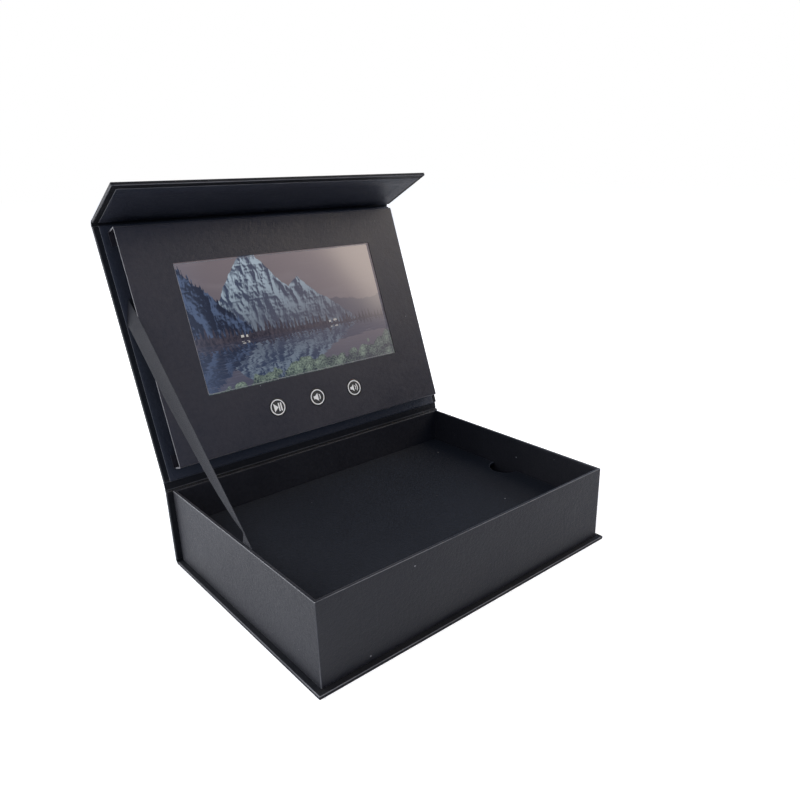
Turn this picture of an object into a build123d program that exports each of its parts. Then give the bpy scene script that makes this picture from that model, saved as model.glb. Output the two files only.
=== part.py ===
from build123d import *
import os
from math import cos, radians, sin, tan

# A rigid presentation box whose lid carries a video screen, in millimetres, with the lid open.
# A case of four wrapped boards (base, spine, lid, flap) is joined by creases of paper. A tray is
# glued to the base, a loose platform stands in the tray, and a card sleeve on the lid holds the
# screen and its electronics. Origin: centre of the base's underside. +X right, -Y front, +Z up.

# ---- Sheet stock ---------------------------------------------------------------------------------
PAPER = 0.2  # wrap, turn-in and liner paper
CASE_BOARD = 1.8  # greyboard of base, spine, lid and flap
TRAY_BOARD = 1.6  # greyboard of tray and platform
CARD = 1.0  # card of the screen's sleeve

# ---- Tray ----------------------------------------------------------------------------------------
TRAY_WIDTH = 223.0
TRAY_DEPTH = 162.0
TRAY_HEIGHT = 50.0
TRAY_TURN_IN = 12.0  # wrap folded under the tray's bottom

# ---- Case ----------------------------------------------------------------------------------------
CASE_WIDTH = 230.0
CASE_THICK = CASE_BOARD + 3 * PAPER  # wrap, board, turn-in, liner
PIVOT_IN = 0.6  # from a panel's outer face in to its crease axis
HALF_GAP = 2.9  # from a crease axis to the board's end on each side
TURN_IN = 15.0  # wrap folded over a board's edge
LINER_INSET = 3.6  # wrap left bare beside the liner
TIP_INSET = 4.3  # the same at the free edges of base and flap
SPINE_TAPE = 1.0  # foam tape between spine and tray
RIM_GAP = 0.7  # closed lid above the rim
FLAP_GAP = 0.9  # closed flap in front of the tray
TIP_GAP = 0.3  # closed flap above the base, and base in front of the flap
LID_OPEN = 110.0  # lid's angle from closed
FLAP_FOLD = 83.5  # flap's fold from the lid's plane; 90 is closed

# ---- Platform ------------------------------------------------------------------------------------
PLATFORM_TOP = 28.4
PLATFORM_GAP = 0.6  # to the tray's walls
PLATFORM_TURN_IN = 20.0
NOTCH_RADIUS = 11.5
NOTCH_Y = 0.5
STRIP_X = 92.0  # support strips, from the middle
STRIP_Y = 66.0
STRIP_CORNER_GAP = 4.0

# ---- Screen panel, on the lid: across the lid, up the lid from its hinge axis, off the liner -----
PANEL_HALF = 107.0
PANEL_UP = (9.5, 160.5)
PANEL_RISE = 12.0
GLUE_FLANGE = 8.0
WINDOW_HALF = 77.0  # a 7 inch screen, 154 x 86
WINDOW_UP = (49.1, 135.1)
BUTTON_UP = 31.0
BUTTON_PITCH = 32.0
BUTTON_RADIUS = 6.2
BUTTON_HOLE = 6.5
BUTTON_TRAVEL = 0.4

# ---- Leads inside the sleeve ---------------------------------------------------------------------
WIRE_RADIUS = 0.6
WIRE_LEVEL = 3.6  # middle of the main board's thickness
WIRE_PITCH = 1.6

# ---- Magnets and keepers -------------------------------------------------------------------------
MAGNET_X = 81.0
MAGNET_UP = 28.9  # from the flap's crease axis
MAGNET_RADIUS = 5.0
MAGNET_THICK = 1.5
KEEPER = (10.0, 12.0, 0.5)
TRIGGER_X = -77.0
TRIGGER_Z = 46.5
TRIGGER_RADIUS = 4.0
TRIGGER_THICK = 1.2
POCKET_CLEAR = 0.1

# ---- Levels across a case panel, inward from its crease axis -------------------------------------
OUTER = -PIVOT_IN
BOARD_LOW = OUTER + PAPER
BOARD_HIGH = BOARD_LOW + CASE_BOARD
LINER_LOW = BOARD_HIGH + PAPER
INNER = LINER_LOW + PAPER

# ---- Places that follow from these ---------------------------------------------------------------
CASE_HALF = CASE_WIDTH / 2
TRAY_X = TRAY_WIDTH / 2
TRAY_Y = TRAY_DEPTH / 2
WALL = TRAY_BOARD + 2 * PAPER
TRAY_Z = CASE_THICK
RIM_Z = TRAY_Z + TRAY_HEIGHT
FLOOR_Z = TRAY_Z + PAPER + TRAY_BOARD + PAPER
HINGE_Y = TRAY_Y + SPINE_TAPE + INNER
HINGE_Z = RIM_Z + RIM_GAP + INNER
LID_LENGTH = HINGE_Y + TRAY_Y + FLAP_GAP + INNER  # between the lid's two crease axes
FLAP_TIP = HINGE_Z - CASE_THICK - TIP_GAP
BASE_TIP = LID_LENGTH + PIVOT_IN + TIP_GAP
SPINE_END = HINGE_Z - PIVOT_IN - HALF_GAP
LEAN = radians(LID_OPEN - 90)

# Each panel's plane lies at its first crease axis: x across the box, y along it, z inward.
lid_up = Vector(0, sin(LEAN), cos(LEAN))
lid_in = Vector(0, -cos(LEAN), sin(LEAN))
fold = radians(FLAP_FOLD)
base_plane = Plane(origin=(0, HINGE_Y, PIVOT_IN), x_dir=(1, 0, 0), z_dir=(0, 0, 1))
spine_plane = Plane(origin=(0, HINGE_Y, PIVOT_IN), x_dir=(1, 0, 0), z_dir=(0, -1, 0))
lid_plane = Plane(origin=(0, HINGE_Y, HINGE_Z), x_dir=(1, 0, 0), z_dir=lid_in)
flap_plane = Plane(
    origin=lid_plane.origin + lid_up * LID_LENGTH,
    x_dir=(1, 0, 0),
    z_dir=lid_in * cos(fold) - lid_up * sin(fold),
)


# ---- Helpers: they draw in whichever part or sketch is open --------------------------------------
def both(half):
    """Limits that are the same distance each side of the middle."""
    return (-half, half)


def area(across, along):
    """A rectangle from its limits across and along the plane."""
    with Locations(((across[0] + across[1]) / 2, (along[0] + along[1]) / 2)):
        Rectangle(across[1] - across[0], along[1] - along[0])


def slab(plane, across, along, levels, mode=Mode.ADD):
    """A flat block over a rectangle of the plane, between two levels above it."""
    with BuildSketch(plane.offset(levels[0])) as outline:
        area(across, along)
    extrude(outline.sketch, amount=levels[1] - levels[0], mode=mode)


def discs(plane, centres, radius, levels, mode=Mode.ADD):
    """Round blocks at the given centres on the plane, between two levels above it."""
    with BuildSketch(plane.offset(levels[0])) as outline:
        with Locations(*centres):
            Circle(radius)
    extrude(outline.sketch, amount=levels[1] - levels[0], mode=mode)


def case_board(plane, near, far, near_tip=0, far_tip=0):
    """A panel's greyboard. A tip is an end that the wrap folds over, and the others are creases."""
    along = (near + PAPER * near_tip, far - PAPER * far_tip)
    slab(plane, both(CASE_HALF - PAPER), along, (BOARD_LOW, BOARD_HIGH))


def case_wrap(plane, near, far, near_tip=0, far_tip=0):
    """A panel's wrap: the outer face, the edges, and the turn-ins on the inner face."""
    board_along = (near + PAPER * near_tip, far - PAPER * far_tip)
    open_along = (near + TURN_IN * near_tip, far - TURN_IN * far_tip)
    slab(plane, both(CASE_HALF), (near, far), (OUTER, LINER_LOW))
    slab(plane, both(CASE_HALF - PAPER), board_along, (BOARD_LOW, BOARD_HIGH), Mode.SUBTRACT)
    slab(plane, both(CASE_HALF - TURN_IN), open_along, (BOARD_HIGH, LINER_LOW), Mode.SUBTRACT)


def case_liner(plane, near, far, near_tip=0, far_tip=0):
    """A panel's liner with the glue under it: on the turn-ins, and on the board between them."""
    sheet_along = (near + TIP_INSET * near_tip, far - TIP_INSET * far_tip)
    open_along = (near + TURN_IN * near_tip, far - TURN_IN * far_tip)
    slab(plane, both(CASE_HALF - LINER_INSET), sheet_along, (LINER_LOW, INNER))
    slab(plane, both(CASE_HALF - TURN_IN), open_along, (BOARD_HIGH, LINER_LOW))


def crease(plane, end, turn):
    """Wrap and liner bent together from a board's end to the next board, turning inward by turn.

    The bend is an arc tangent to both panels' outer faces: radius HALF_GAP / tan(turn / 2) + PIVOT_IN,
    negative where the paper bends the other way. The liner's layer is narrower than the wrap's.
    """
    radius = HALF_GAP / tan(radians(turn / 2)) + PIVOT_IN
    start = -90 if radius > 0 else 90
    centre = (end, radius - PIVOT_IN)
    section = Plane(origin=plane.origin, x_dir=plane.y_dir, z_dir=plane.x_dir)
    for depth, half_width in ((0, CASE_HALF), (PAPER, CASE_HALF - LINER_INSET)):
        with BuildSketch(section) as bend:
            with BuildLine():
                outer = CenterArc(centre, abs(radius - depth), start, turn)
                inner = CenterArc(centre, abs(radius - depth - PAPER), start, turn)
                Line(outer @ 0, inner @ 0)
                Line(outer @ 1, inner @ 1)
            make_face()
        extrude(bend.sketch, amount=half_width, both=True)


def lead(points):
    """An insulated wire on the lid: straight runs joined by arcs as large as the runs allow."""
    places = [Vector(*point) for point in points]
    runs = [second - first for first, second in zip(places, places[1:])]
    bends = []
    for before, after in zip(runs, runs[1:]):
        shorter = min(before.length, after.length)
        bends.append(0.45 * shorter / tan(radians(before.get_angle(after)) / 2))
    with BuildLine(lid_plane) as route:
        FilletPolyline(*points, radius=bends)
    with BuildSketch(Plane(origin=route.line @ 0, z_dir=route.line % 0)) as section:
        Circle(WIRE_RADIUS)
    sweep(section.sketch, path=route.line)
    print("lead bend radii", [round(bend, 1) for bend in bends])


os.makedirs("parts", exist_ok=True)

# ---- Case: base and spine, which the bottom crease joins for good --------------------------------
with BuildPart() as base_board:
    case_board(base_plane, -BASE_TIP, -HALF_GAP, near_tip=1)
base_board.part.label = "base_board"
export_step(base_board.part, "parts/base_board.step")

with BuildPart() as base_wrap:
    case_wrap(base_plane, -BASE_TIP, -HALF_GAP, near_tip=1)
    crease(base_plane, -HALF_GAP, 90)
base_wrap.part.label = "base_wrap"
export_step(base_wrap.part, "parts/base_wrap.step")

with BuildPart() as base_liner:
    case_liner(base_plane, -BASE_TIP, -HALF_GAP, near_tip=1)
base_liner.part.label = "base_liner"
export_step(base_liner.part, "parts/base_liner.step")

with BuildPart() as spine_board:
    case_board(spine_plane, HALF_GAP, SPINE_END)
spine_board.part.label = "spine_board"
export_step(spine_board.part, "parts/spine_board.step")

with BuildPart() as spine_wrap:
    case_wrap(spine_plane, HALF_GAP, SPINE_END)
spine_wrap.part.label = "spine_wrap"
export_step(spine_wrap.part, "parts/spine_wrap.step")

with BuildPart() as spine_liner:
    case_liner(spine_plane, HALF_GAP, SPINE_END)
spine_liner.part.label = "spine_liner"
export_step(spine_liner.part, "parts/spine_liner.step")

TAPE_MARGIN = 8.0
with BuildPart() as spine_tape:
    tape_up = (HALF_GAP + TAPE_MARGIN, SPINE_END - TAPE_MARGIN)
    slab(spine_plane, both(TRAY_X - TAPE_MARGIN), tape_up, (INNER, INNER + SPINE_TAPE))
spine_tape.part.label = "spine_tape"
export_step(spine_tape.part, "parts/spine_tape.step")

with BuildPart() as hinge_crease:
    crease(spine_plane, SPINE_END, 90 - LID_OPEN)
hinge_crease.part.label = "hinge_crease"
export_step(hinge_crease.part, "parts/hinge_crease.step")

# ---- Tray: a bottom and four walls, butted at the corners, inside one wrap -----------------------
SKIN_X = TRAY_X - PAPER  # outside of the walls' board
SKIN_Y = TRAY_Y - PAPER
CORE_X = SKIN_X - TRAY_BOARD  # inside of the walls' board
CORE_Y = SKIN_Y - TRAY_BOARD
INSIDE_X = TRAY_X - WALL
INSIDE_Y = TRAY_Y - WALL
BOARD_Z = (TRAY_Z + PAPER, RIM_Z - PAPER)
BOTTOM_Z = (TRAY_Z + PAPER, FLOOR_Z - PAPER)
front_plane = Plane(origin=(0, -SKIN_Y, 0), x_dir=(1, 0, 0), z_dir=(0, -1, 0))
back_plane = Plane(origin=(0, CORE_Y, 0), x_dir=(1, 0, 0), z_dir=(0, -1, 0))

with BuildPart() as tray_bottom_board:
    slab(Plane.XY, both(CORE_X), both(CORE_Y), BOTTOM_Z)
tray_bottom_board.part.label = "tray_bottom_board"
export_step(tray_bottom_board.part, "parts/tray_bottom_board.step")

with BuildPart() as tray_front_board:
    slab(Plane.XY, both(SKIN_X), (-SKIN_Y, -CORE_Y), BOARD_Z)
    keeper_z = HINGE_Z - MAGNET_UP
    for side in (-1, 1):
        pocket_x = (side * MAGNET_X - KEEPER[0] / 2, side * MAGNET_X + KEEPER[0] / 2)
        pocket_z = (keeper_z - KEEPER[1] / 2, keeper_z + KEEPER[1] / 2)
        slab(front_plane, pocket_x, pocket_z, (-KEEPER[2], 0), Mode.SUBTRACT)
tray_front_board.part.label = "tray_front_board"
export_step(tray_front_board.part, "parts/tray_front_board.step")

with BuildPart() as keeper_plates:
    for side in (-1, 1):
        plate_x = (side * MAGNET_X - KEEPER[0] / 2, side * MAGNET_X + KEEPER[0] / 2)
        plate_z = (keeper_z - KEEPER[1] / 2, keeper_z + KEEPER[1] / 2)
        slab(front_plane, plate_x, plate_z, (-KEEPER[2], 0))
keeper_plates.part.label = "keeper_plates"
export_step(keeper_plates.part, "parts/keeper_plates.step")

trigger_centre = [(TRIGGER_X, TRIGGER_Z)]
with BuildPart() as tray_back_board:
    slab(Plane.XY, both(SKIN_X), (CORE_Y, SKIN_Y), BOARD_Z)
    pocket_radius = TRIGGER_RADIUS + POCKET_CLEAR
    discs(back_plane, trigger_centre, pocket_radius, (-TRIGGER_THICK, 0), Mode.SUBTRACT)
tray_back_board.part.label = "tray_back_board"
export_step(tray_back_board.part, "parts/tray_back_board.step")

with BuildPart() as trigger_magnet:
    discs(back_plane, trigger_centre, TRIGGER_RADIUS, (-TRIGGER_THICK, 0))
trigger_magnet.part.label = "trigger_magnet"
export_step(trigger_magnet.part, "parts/trigger_magnet.step")

with BuildPart() as tray_left_board:
    slab(Plane.XY, (-SKIN_X, -CORE_X), both(CORE_Y), BOARD_Z)
tray_left_board.part.label = "tray_left_board"
export_step(tray_left_board.part, "parts/tray_left_board.step")

with BuildPart() as tray_right_board:
    slab(Plane.XY, (CORE_X, SKIN_X), both(CORE_Y), BOARD_Z)
tray_right_board.part.label = "tray_right_board"
export_step(tray_right_board.part, "parts/tray_right_board.step")

with BuildPart() as tray_wrap:
    slab(Plane.XY, both(TRAY_X), both(TRAY_Y), (TRAY_Z, RIM_Z))
    slab(Plane.XY, both(SKIN_X), both(SKIN_Y), BOARD_Z, Mode.SUBTRACT)
    under_x = both(TRAY_X - TRAY_TURN_IN)
    under_y = both(TRAY_Y - TRAY_TURN_IN)
    slab(Plane.XY, under_x, under_y, (TRAY_Z, TRAY_Z + PAPER), Mode.SUBTRACT)
    slab(Plane.XY, both(CORE_X), both(CORE_Y), (BOTTOM_Z[1], RIM_Z))
    slab(Plane.XY, both(INSIDE_X), both(INSIDE_Y), (BOTTOM_Z[1], RIM_Z), Mode.SUBTRACT)
tray_wrap.part.label = "tray_wrap"
export_step(tray_wrap.part, "parts/tray_wrap.step")

with BuildPart() as tray_floor_paper:
    slab(Plane.XY, both(INSIDE_X), both(INSIDE_Y), (BOTTOM_Z[1], FLOOR_Z))
tray_floor_paper.part.label = "tray_floor_paper"
export_step(tray_floor_paper.part, "parts/tray_floor_paper.step")

# ---- Platform: a wrapped board with a thumb notch, standing on four strips -----------------------
PLATFORM_X = INSIDE_X - PLATFORM_GAP
PLATFORM_Y = INSIDE_Y - PLATFORM_GAP
PLATFORM_LOW = PLATFORM_TOP - PAPER - TRAY_BOARD - PAPER
CORE_LEVELS = (PLATFORM_LOW + PAPER, PLATFORM_TOP - PAPER)
notch_centre = [(PLATFORM_X, NOTCH_Y)]

with BuildPart() as platform_board:
    slab(Plane.XY, both(PLATFORM_X - PAPER), both(PLATFORM_Y - PAPER), CORE_LEVELS)
    discs(Plane.XY, notch_centre, NOTCH_RADIUS + PAPER, CORE_LEVELS, Mode.SUBTRACT)
platform_board.part.label = "platform_board"
export_step(platform_board.part, "parts/platform_board.step")

with BuildPart() as platform_wrap:
    slab(Plane.XY, both(PLATFORM_X), both(PLATFORM_Y), (PLATFORM_LOW, PLATFORM_TOP))
    discs(Plane.XY, notch_centre, NOTCH_RADIUS, (PLATFORM_LOW, PLATFORM_TOP), Mode.SUBTRACT)
    add(platform_board.part, mode=Mode.SUBTRACT)
    open_x = both(PLATFORM_X - PLATFORM_TURN_IN)
    open_y = both(PLATFORM_Y - PLATFORM_TURN_IN)
    slab(Plane.XY, open_x, open_y, (PLATFORM_LOW, CORE_LEVELS[0]), Mode.SUBTRACT)
platform_wrap.part.label = "platform_wrap"
export_step(platform_wrap.part, "parts/platform_wrap.step")

with BuildPart() as platform_supports:
    strip_levels = (FLOOR_Z, PLATFORM_LOW)
    half_strip = TRAY_BOARD / 2
    for side in (-1, 1):
        strip_y = (side * STRIP_Y - half_strip, side * STRIP_Y + half_strip)
        strip_x = (side * STRIP_X - half_strip, side * STRIP_X + half_strip)
        slab(Plane.XY, both(STRIP_X), strip_y, strip_levels)
        slab(Plane.XY, strip_x, both(STRIP_Y - STRIP_CORNER_GAP), strip_levels)
platform_supports.part.label = "platform_supports"
export_step(platform_supports.part, "parts/platform_supports.step")

# ---- Lid -----------------------------------------------------------------------------------------
LID_END = LID_LENGTH - HALF_GAP
with BuildPart() as lid_board:
    case_board(lid_plane, HALF_GAP, LID_END)
lid_board.part.label = "lid_board"
export_step(lid_board.part, "parts/lid_board.step")

with BuildPart() as lid_wrap:
    case_wrap(lid_plane, HALF_GAP, LID_END)
lid_wrap.part.label = "lid_wrap"
export_step(lid_wrap.part, "parts/lid_wrap.step")

with BuildPart() as lid_liner:
    case_liner(lid_plane, HALF_GAP, LID_END)
lid_liner.part.label = "lid_liner"
export_step(lid_liner.part, "parts/lid_liner.step")

# ---- Sleeve: folded card, glued down on three flanges and open at the left end -------------------
FACE_TOP = INNER + PANEL_RISE
FACE_LOW = FACE_TOP - CARD
button_centres = [(-BUTTON_PITCH, BUTTON_UP), (0, BUTTON_UP), (BUTTON_PITCH, BUTTON_UP)]

with BuildPart() as panel_sleeve:
    slab(lid_plane, both(PANEL_HALF), PANEL_UP, (INNER, FACE_TOP))
    room_x = (-PANEL_HALF, PANEL_HALF - CARD)
    room_up = (PANEL_UP[0] + CARD, PANEL_UP[1] - CARD)
    slab(lid_plane, room_x, room_up, (INNER + CARD, FACE_LOW), Mode.SUBTRACT)
    bare_x = (-PANEL_HALF, room_x[1] - GLUE_FLANGE)
    bare_up = (room_up[0] + GLUE_FLANGE, room_up[1] - GLUE_FLANGE)
    slab(lid_plane, bare_x, bare_up, (INNER, INNER + CARD), Mode.SUBTRACT)
    slab(lid_plane, both(WINDOW_HALF), WINDOW_UP, (FACE_LOW, FACE_TOP), Mode.SUBTRACT)
    discs(lid_plane, button_centres, BUTTON_HOLE, (FACE_LOW, FACE_TOP), Mode.SUBTRACT)
panel_sleeve.part.label = "panel_sleeve"
export_step(panel_sleeve.part, "parts/panel_sleeve.step")

# ---- Screen module, pressed against the sleeve's face through a foam gasket ----------------------
BEZEL_SHEET = 0.3
GASKET = 0.3
SCREEN_HALF = 82.5
SCREEN_UP = (42.1, 142.1)
BEZEL_TOP = FACE_LOW - GASKET
GLASS_TOP = BEZEL_TOP - BEZEL_SHEET
GLASS_LOW = GLASS_TOP - 1.2
LIGHT_LOW = GLASS_LOW - 2.0
BEZEL_LOW = LIGHT_LOW - BEZEL_SHEET
glass_x = both(SCREEN_HALF - BEZEL_SHEET)
glass_up = (SCREEN_UP[0] + BEZEL_SHEET, SCREEN_UP[1] - BEZEL_SHEET)
frame_x = both(WINDOW_HALF + 1.5)
frame_up = (WINDOW_UP[0] - 1.5, WINDOW_UP[1] + 1.5)

with BuildPart() as window_gasket:
    slab(lid_plane, both(SCREEN_HALF), SCREEN_UP, (BEZEL_TOP, FACE_LOW))
    slab(lid_plane, frame_x, frame_up, (BEZEL_TOP, FACE_LOW), Mode.SUBTRACT)
window_gasket.part.label = "window_gasket"
export_step(window_gasket.part, "parts/window_gasket.step")

with BuildPart() as lcd_bezel:
    slab(lid_plane, both(SCREEN_HALF), SCREEN_UP, (BEZEL_LOW, BEZEL_TOP))
    slab(lid_plane, glass_x, glass_up, (LIGHT_LOW, GLASS_TOP), Mode.SUBTRACT)
    slab(lid_plane, frame_x, frame_up, (GLASS_TOP, BEZEL_TOP), Mode.SUBTRACT)
lcd_bezel.part.label = "lcd_bezel"
export_step(lcd_bezel.part, "parts/lcd_bezel.step")

with BuildPart() as lcd_glass:
    slab(lid_plane, glass_x, glass_up, (GLASS_LOW, GLASS_TOP))
lcd_glass.part.label = "lcd_glass"
export_step(lcd_glass.part, "parts/lcd_glass.step")

with BuildPart() as lcd_backlight:
    slab(lid_plane, glass_x, glass_up, (LIGHT_LOW, GLASS_LOW))
lcd_backlight.part.label = "lcd_backlight"
export_step(lcd_backlight.part, "parts/lcd_backlight.step")

with BuildPart() as lcd_pads:
    for pad_x in ((-80, -66), (66, 80)):
        for pad_up in ((44, 58), (126, 140)):
            slab(lid_plane, pad_x, pad_up, (INNER, BEZEL_LOW))
lcd_pads.part.label = "lcd_pads"
export_step(lcd_pads.part, "parts/lcd_pads.step")

# ---- Main board, with its charging socket at the sleeve's open end -------------------------------
BOARD_X = (-103.0, -48.0)
BOARD_UP = (60.0, 100.0)
BOARD_FOAM = 1.2
CIRCUIT_BOARD = 1.2
CIRCUIT_LOW = INNER + BOARD_FOAM
CIRCUIT_TOP = CIRCUIT_LOW + CIRCUIT_BOARD
SOCKET_X = (-105.0, -99.5)
SOCKET_UP = (75.0, 83.0)
SOCKET_RISE = 2.6
SOCKET_SHEET = 0.3

with BuildPart() as board_tape:
    for tape_x in ((-100, -90), (-61, -51)):
        slab(lid_plane, tape_x, (BOARD_UP[0] + 3, BOARD_UP[1] - 3), (INNER, CIRCUIT_LOW))
board_tape.part.label = "board_tape"
export_step(board_tape.part, "parts/board_tape.step")

with BuildPart() as main_board:
    slab(lid_plane, BOARD_X, BOARD_UP, (CIRCUIT_LOW, CIRCUIT_TOP))
main_board.part.label = "main_board"
export_step(main_board.part, "parts/main_board.step")

# Each component: its middle across and up the lid, its sides, and its height.
components = [
    (-78, 84, 12, 12, 1.2),
    (-61, 90, 9, 6, 1.1),
    (-90, 93, 6, 6, 2.4),
    (-93, 67, 5, 4, 1.0),
    (-78, 66, 8, 5, 1.4),
    (-60, 66, 14, 4, 1.4),
    (-52, 78, 6, 8, 3.0),
]
with BuildPart() as board_components:
    for middle_x, middle_up, wide, tall, rise in components:
        part_x = (middle_x - wide / 2, middle_x + wide / 2)
        part_up = (middle_up - tall / 2, middle_up + tall / 2)
        slab(lid_plane, part_x, part_up, (CIRCUIT_TOP, CIRCUIT_TOP + rise))
board_components.part.label = "board_components"
export_step(board_components.part, "parts/board_components.step")

with BuildPart() as charging_socket:
    slab(lid_plane, SOCKET_X, SOCKET_UP, (CIRCUIT_TOP, CIRCUIT_TOP + SOCKET_RISE))
    mouth_x = (SOCKET_X[0], SOCKET_X[1] - SOCKET_SHEET)
    mouth_up = (SOCKET_UP[0] + SOCKET_SHEET, SOCKET_UP[1] - SOCKET_SHEET)
    mouth_levels = (CIRCUIT_TOP + SOCKET_SHEET, CIRCUIT_TOP + SOCKET_RISE - SOCKET_SHEET)
    slab(lid_plane, mouth_x, mouth_up, mouth_levels, Mode.SUBTRACT)
charging_socket.part.label = "charging_socket"
export_step(charging_socket.part, "parts/charging_socket.step")

with BuildPart() as socket_tongue:
    tongue_x = (SOCKET_X[0] + 0.8, mouth_x[1])
    slab(lid_plane, tongue_x, (76.5, 81.5), (CIRCUIT_TOP + 1.0, CIRCUIT_TOP + 1.6))
socket_tongue.part.label = "socket_tongue"
export_step(socket_tongue.part, "parts/socket_tongue.step")

with BuildPart() as lcd_flex:
    flex_x = (-65.0, -55.0)
    flex_plane = Plane(origin=lid_plane.origin, x_dir=lid_up, z_dir=(1, 0, 0)).offset(flex_x[0])
    with BuildSketch(flex_plane) as flex_section:
        with BuildLine() as flex_route:
            FilletPolyline((48, 8.6), (54, 8.6), (58, 5.0), (64, 5.0), radius=1.5)
        trace(line_width=0.2)
    extrude(amount=flex_x[1] - flex_x[0])
lcd_flex.part.label = "lcd_flex"
export_step(lcd_flex.part, "parts/lcd_flex.step")

# ---- Button board on a foam strip, with a tact switch under each button --------------------------
SWITCH_BODY = 6.0
SWITCH_RISE = 2.5
PLUNGER_RADIUS = 1.7
button_board_levels = (8.0, 9.0)
plunger_levels = (button_board_levels[1] + SWITCH_RISE, FACE_LOW - BUTTON_TRAVEL - 0.05)

with BuildPart() as button_foam:
    slab(lid_plane, both(38), (BUTTON_UP - 3, BUTTON_UP + 3), (INNER, button_board_levels[0]))
button_foam.part.label = "button_foam"
export_step(button_foam.part, "parts/button_foam.step")

with BuildPart() as button_board:
    slab(lid_plane, both(40), (BUTTON_UP - 5, BUTTON_UP + 5), button_board_levels)
button_board.part.label = "button_board"
export_step(button_board.part, "parts/button_board.step")

with BuildPart() as tact_switches:
    for centre_x, centre_up in button_centres:
        switch_x = (centre_x - SWITCH_BODY / 2, centre_x + SWITCH_BODY / 2)
        switch_up = (centre_up - SWITCH_BODY / 2, centre_up + SWITCH_BODY / 2)
        slab(lid_plane, switch_x, switch_up, (button_board_levels[1], plunger_levels[0]))
    discs(lid_plane, button_centres, PLUNGER_RADIUS, plunger_levels)
tact_switches.part.label = "tact_switches"
export_step(tact_switches.part, "parts/tact_switches.step")

with BuildPart() as button_play:
    discs(lid_plane, button_centres[:1], BUTTON_RADIUS, (FACE_LOW, FACE_TOP))
button_play.part.label = "button_play"
export_step(button_play.part, "parts/button_play.step")

with BuildPart() as button_volume_down:
    discs(lid_plane, button_centres[1:2], BUTTON_RADIUS, (FACE_LOW, FACE_TOP))
button_volume_down.part.label = "button_volume_down"
export_step(button_volume_down.part, "parts/button_volume_down.step")

with BuildPart() as button_volume_up:
    discs(lid_plane, button_centres[2:], BUTTON_RADIUS, (FACE_LOW, FACE_TOP))
button_volume_up.part.label = "button_volume_up"
export_step(button_volume_up.part, "parts/button_volume_up.step")

# ---- Battery, speaker, reed switch and the leads from them to the main board ---------------------
BATTERY_X = (5.0, 65.0)
BATTERY_UP = (60.0, 110.0)
SPEAKER_CENTRE = (78.0, 31.5)
SPEAKER_RADIUS = 12.0
TERMINAL_X = (62.0, 68.0)
REED_X = (-84.0, -70.0)
REED_UP = (20.5, 23.5)

with BuildPart() as battery:
    slab(lid_plane, BATTERY_X, BATTERY_UP, (INNER, INNER + 4.4))
    fillet(battery.edges().filter_by(Axis.X).filter_by(GeomType.LINE), radius=1.2)
battery.part.label = "battery"
export_step(battery.part, "parts/battery.step")

with BuildPart() as battery_leads:
    for wire in (0, 1):
        up = 74 + wire * WIRE_PITCH
        start = (BATTERY_X[0], up, WIRE_LEVEL)
        end = (BOARD_X[1], up + 12, WIRE_LEVEL)
        lead([start, (-14, up, WIRE_LEVEL), (-30, up + 12, WIRE_LEVEL), end])
battery_leads.part.label = "battery_leads"
export_step(battery_leads.part, "parts/battery_leads.step")

with BuildPart() as speaker:
    discs(lid_plane, [SPEAKER_CENTRE], SPEAKER_RADIUS, (INNER, INNER + 5.0))
    slab(lid_plane, TERMINAL_X, (33, 40), (INNER, WIRE_LEVEL + WIRE_RADIUS))
speaker.part.label = "speaker"
export_step(speaker.part, "parts/speaker.step")

with BuildPart() as speaker_leads:
    for wire in (0, 1):
        up = 36 + wire * WIRE_PITCH
        start = (TERMINAL_X[0], up, WIRE_LEVEL)
        middle = [(42, up, WIRE_LEVEL), (6, up + 8, WIRE_LEVEL), (-26, up + 28, WIRE_LEVEL)]
        end = (BOARD_X[1], up + 28, WIRE_LEVEL)
        lead([start, *middle, end])
speaker_leads.part.label = "speaker_leads"
export_step(speaker_leads.part, "parts/speaker_leads.step")

with BuildPart() as button_leads:
    for wire in (0, 1, 2, 3):
        up = BUTTON_UP + 2.4 - wire * WIRE_PITCH
        end_x = -56 - wire * WIRE_PITCH
        start = (-40, up, 8.4)
        middle = [(-50 - wire * WIRE_PITCH / 2, up, 8.4), (end_x, 46, WIRE_LEVEL)]
        end = (end_x, BOARD_UP[0], WIRE_LEVEL)
        lead([start, *middle, end])
button_leads.part.label = "button_leads"
export_step(button_leads.part, "parts/button_leads.step")

with BuildPart() as reed_switch:
    slab(lid_plane, REED_X, REED_UP, (INNER, INNER + 3.0))
reed_switch.part.label = "reed_switch"
export_step(reed_switch.part, "parts/reed_switch.step")

with BuildPart() as reed_leads:
    for wire in (0, 1):
        up = 22.8 - wire * WIRE_PITCH
        end_x = -92.4 - wire * WIRE_PITCH
        start = (REED_X[0], up, WIRE_LEVEL)
        middle = [(-90 - wire * WIRE_PITCH, up, WIRE_LEVEL), (end_x, 42, WIRE_LEVEL)]
        end = (end_x, BOARD_UP[0], WIRE_LEVEL)
        lead([start, *middle, end])
reed_leads.part.label = "reed_leads"
export_step(reed_leads.part, "parts/reed_leads.step")

# ---- Flap ----------------------------------------------------------------------------------------
magnet_centres = [(-MAGNET_X, MAGNET_UP), (MAGNET_X, MAGNET_UP)]
magnet_levels = (BOARD_HIGH - MAGNET_THICK, BOARD_HIGH)

with BuildPart() as flap_board:
    case_board(flap_plane, HALF_GAP, FLAP_TIP, far_tip=1)
    pocket_radius = MAGNET_RADIUS + POCKET_CLEAR
    discs(flap_plane, magnet_centres, pocket_radius, magnet_levels, Mode.SUBTRACT)
flap_board.part.label = "flap_board"
export_step(flap_board.part, "parts/flap_board.step")

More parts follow.
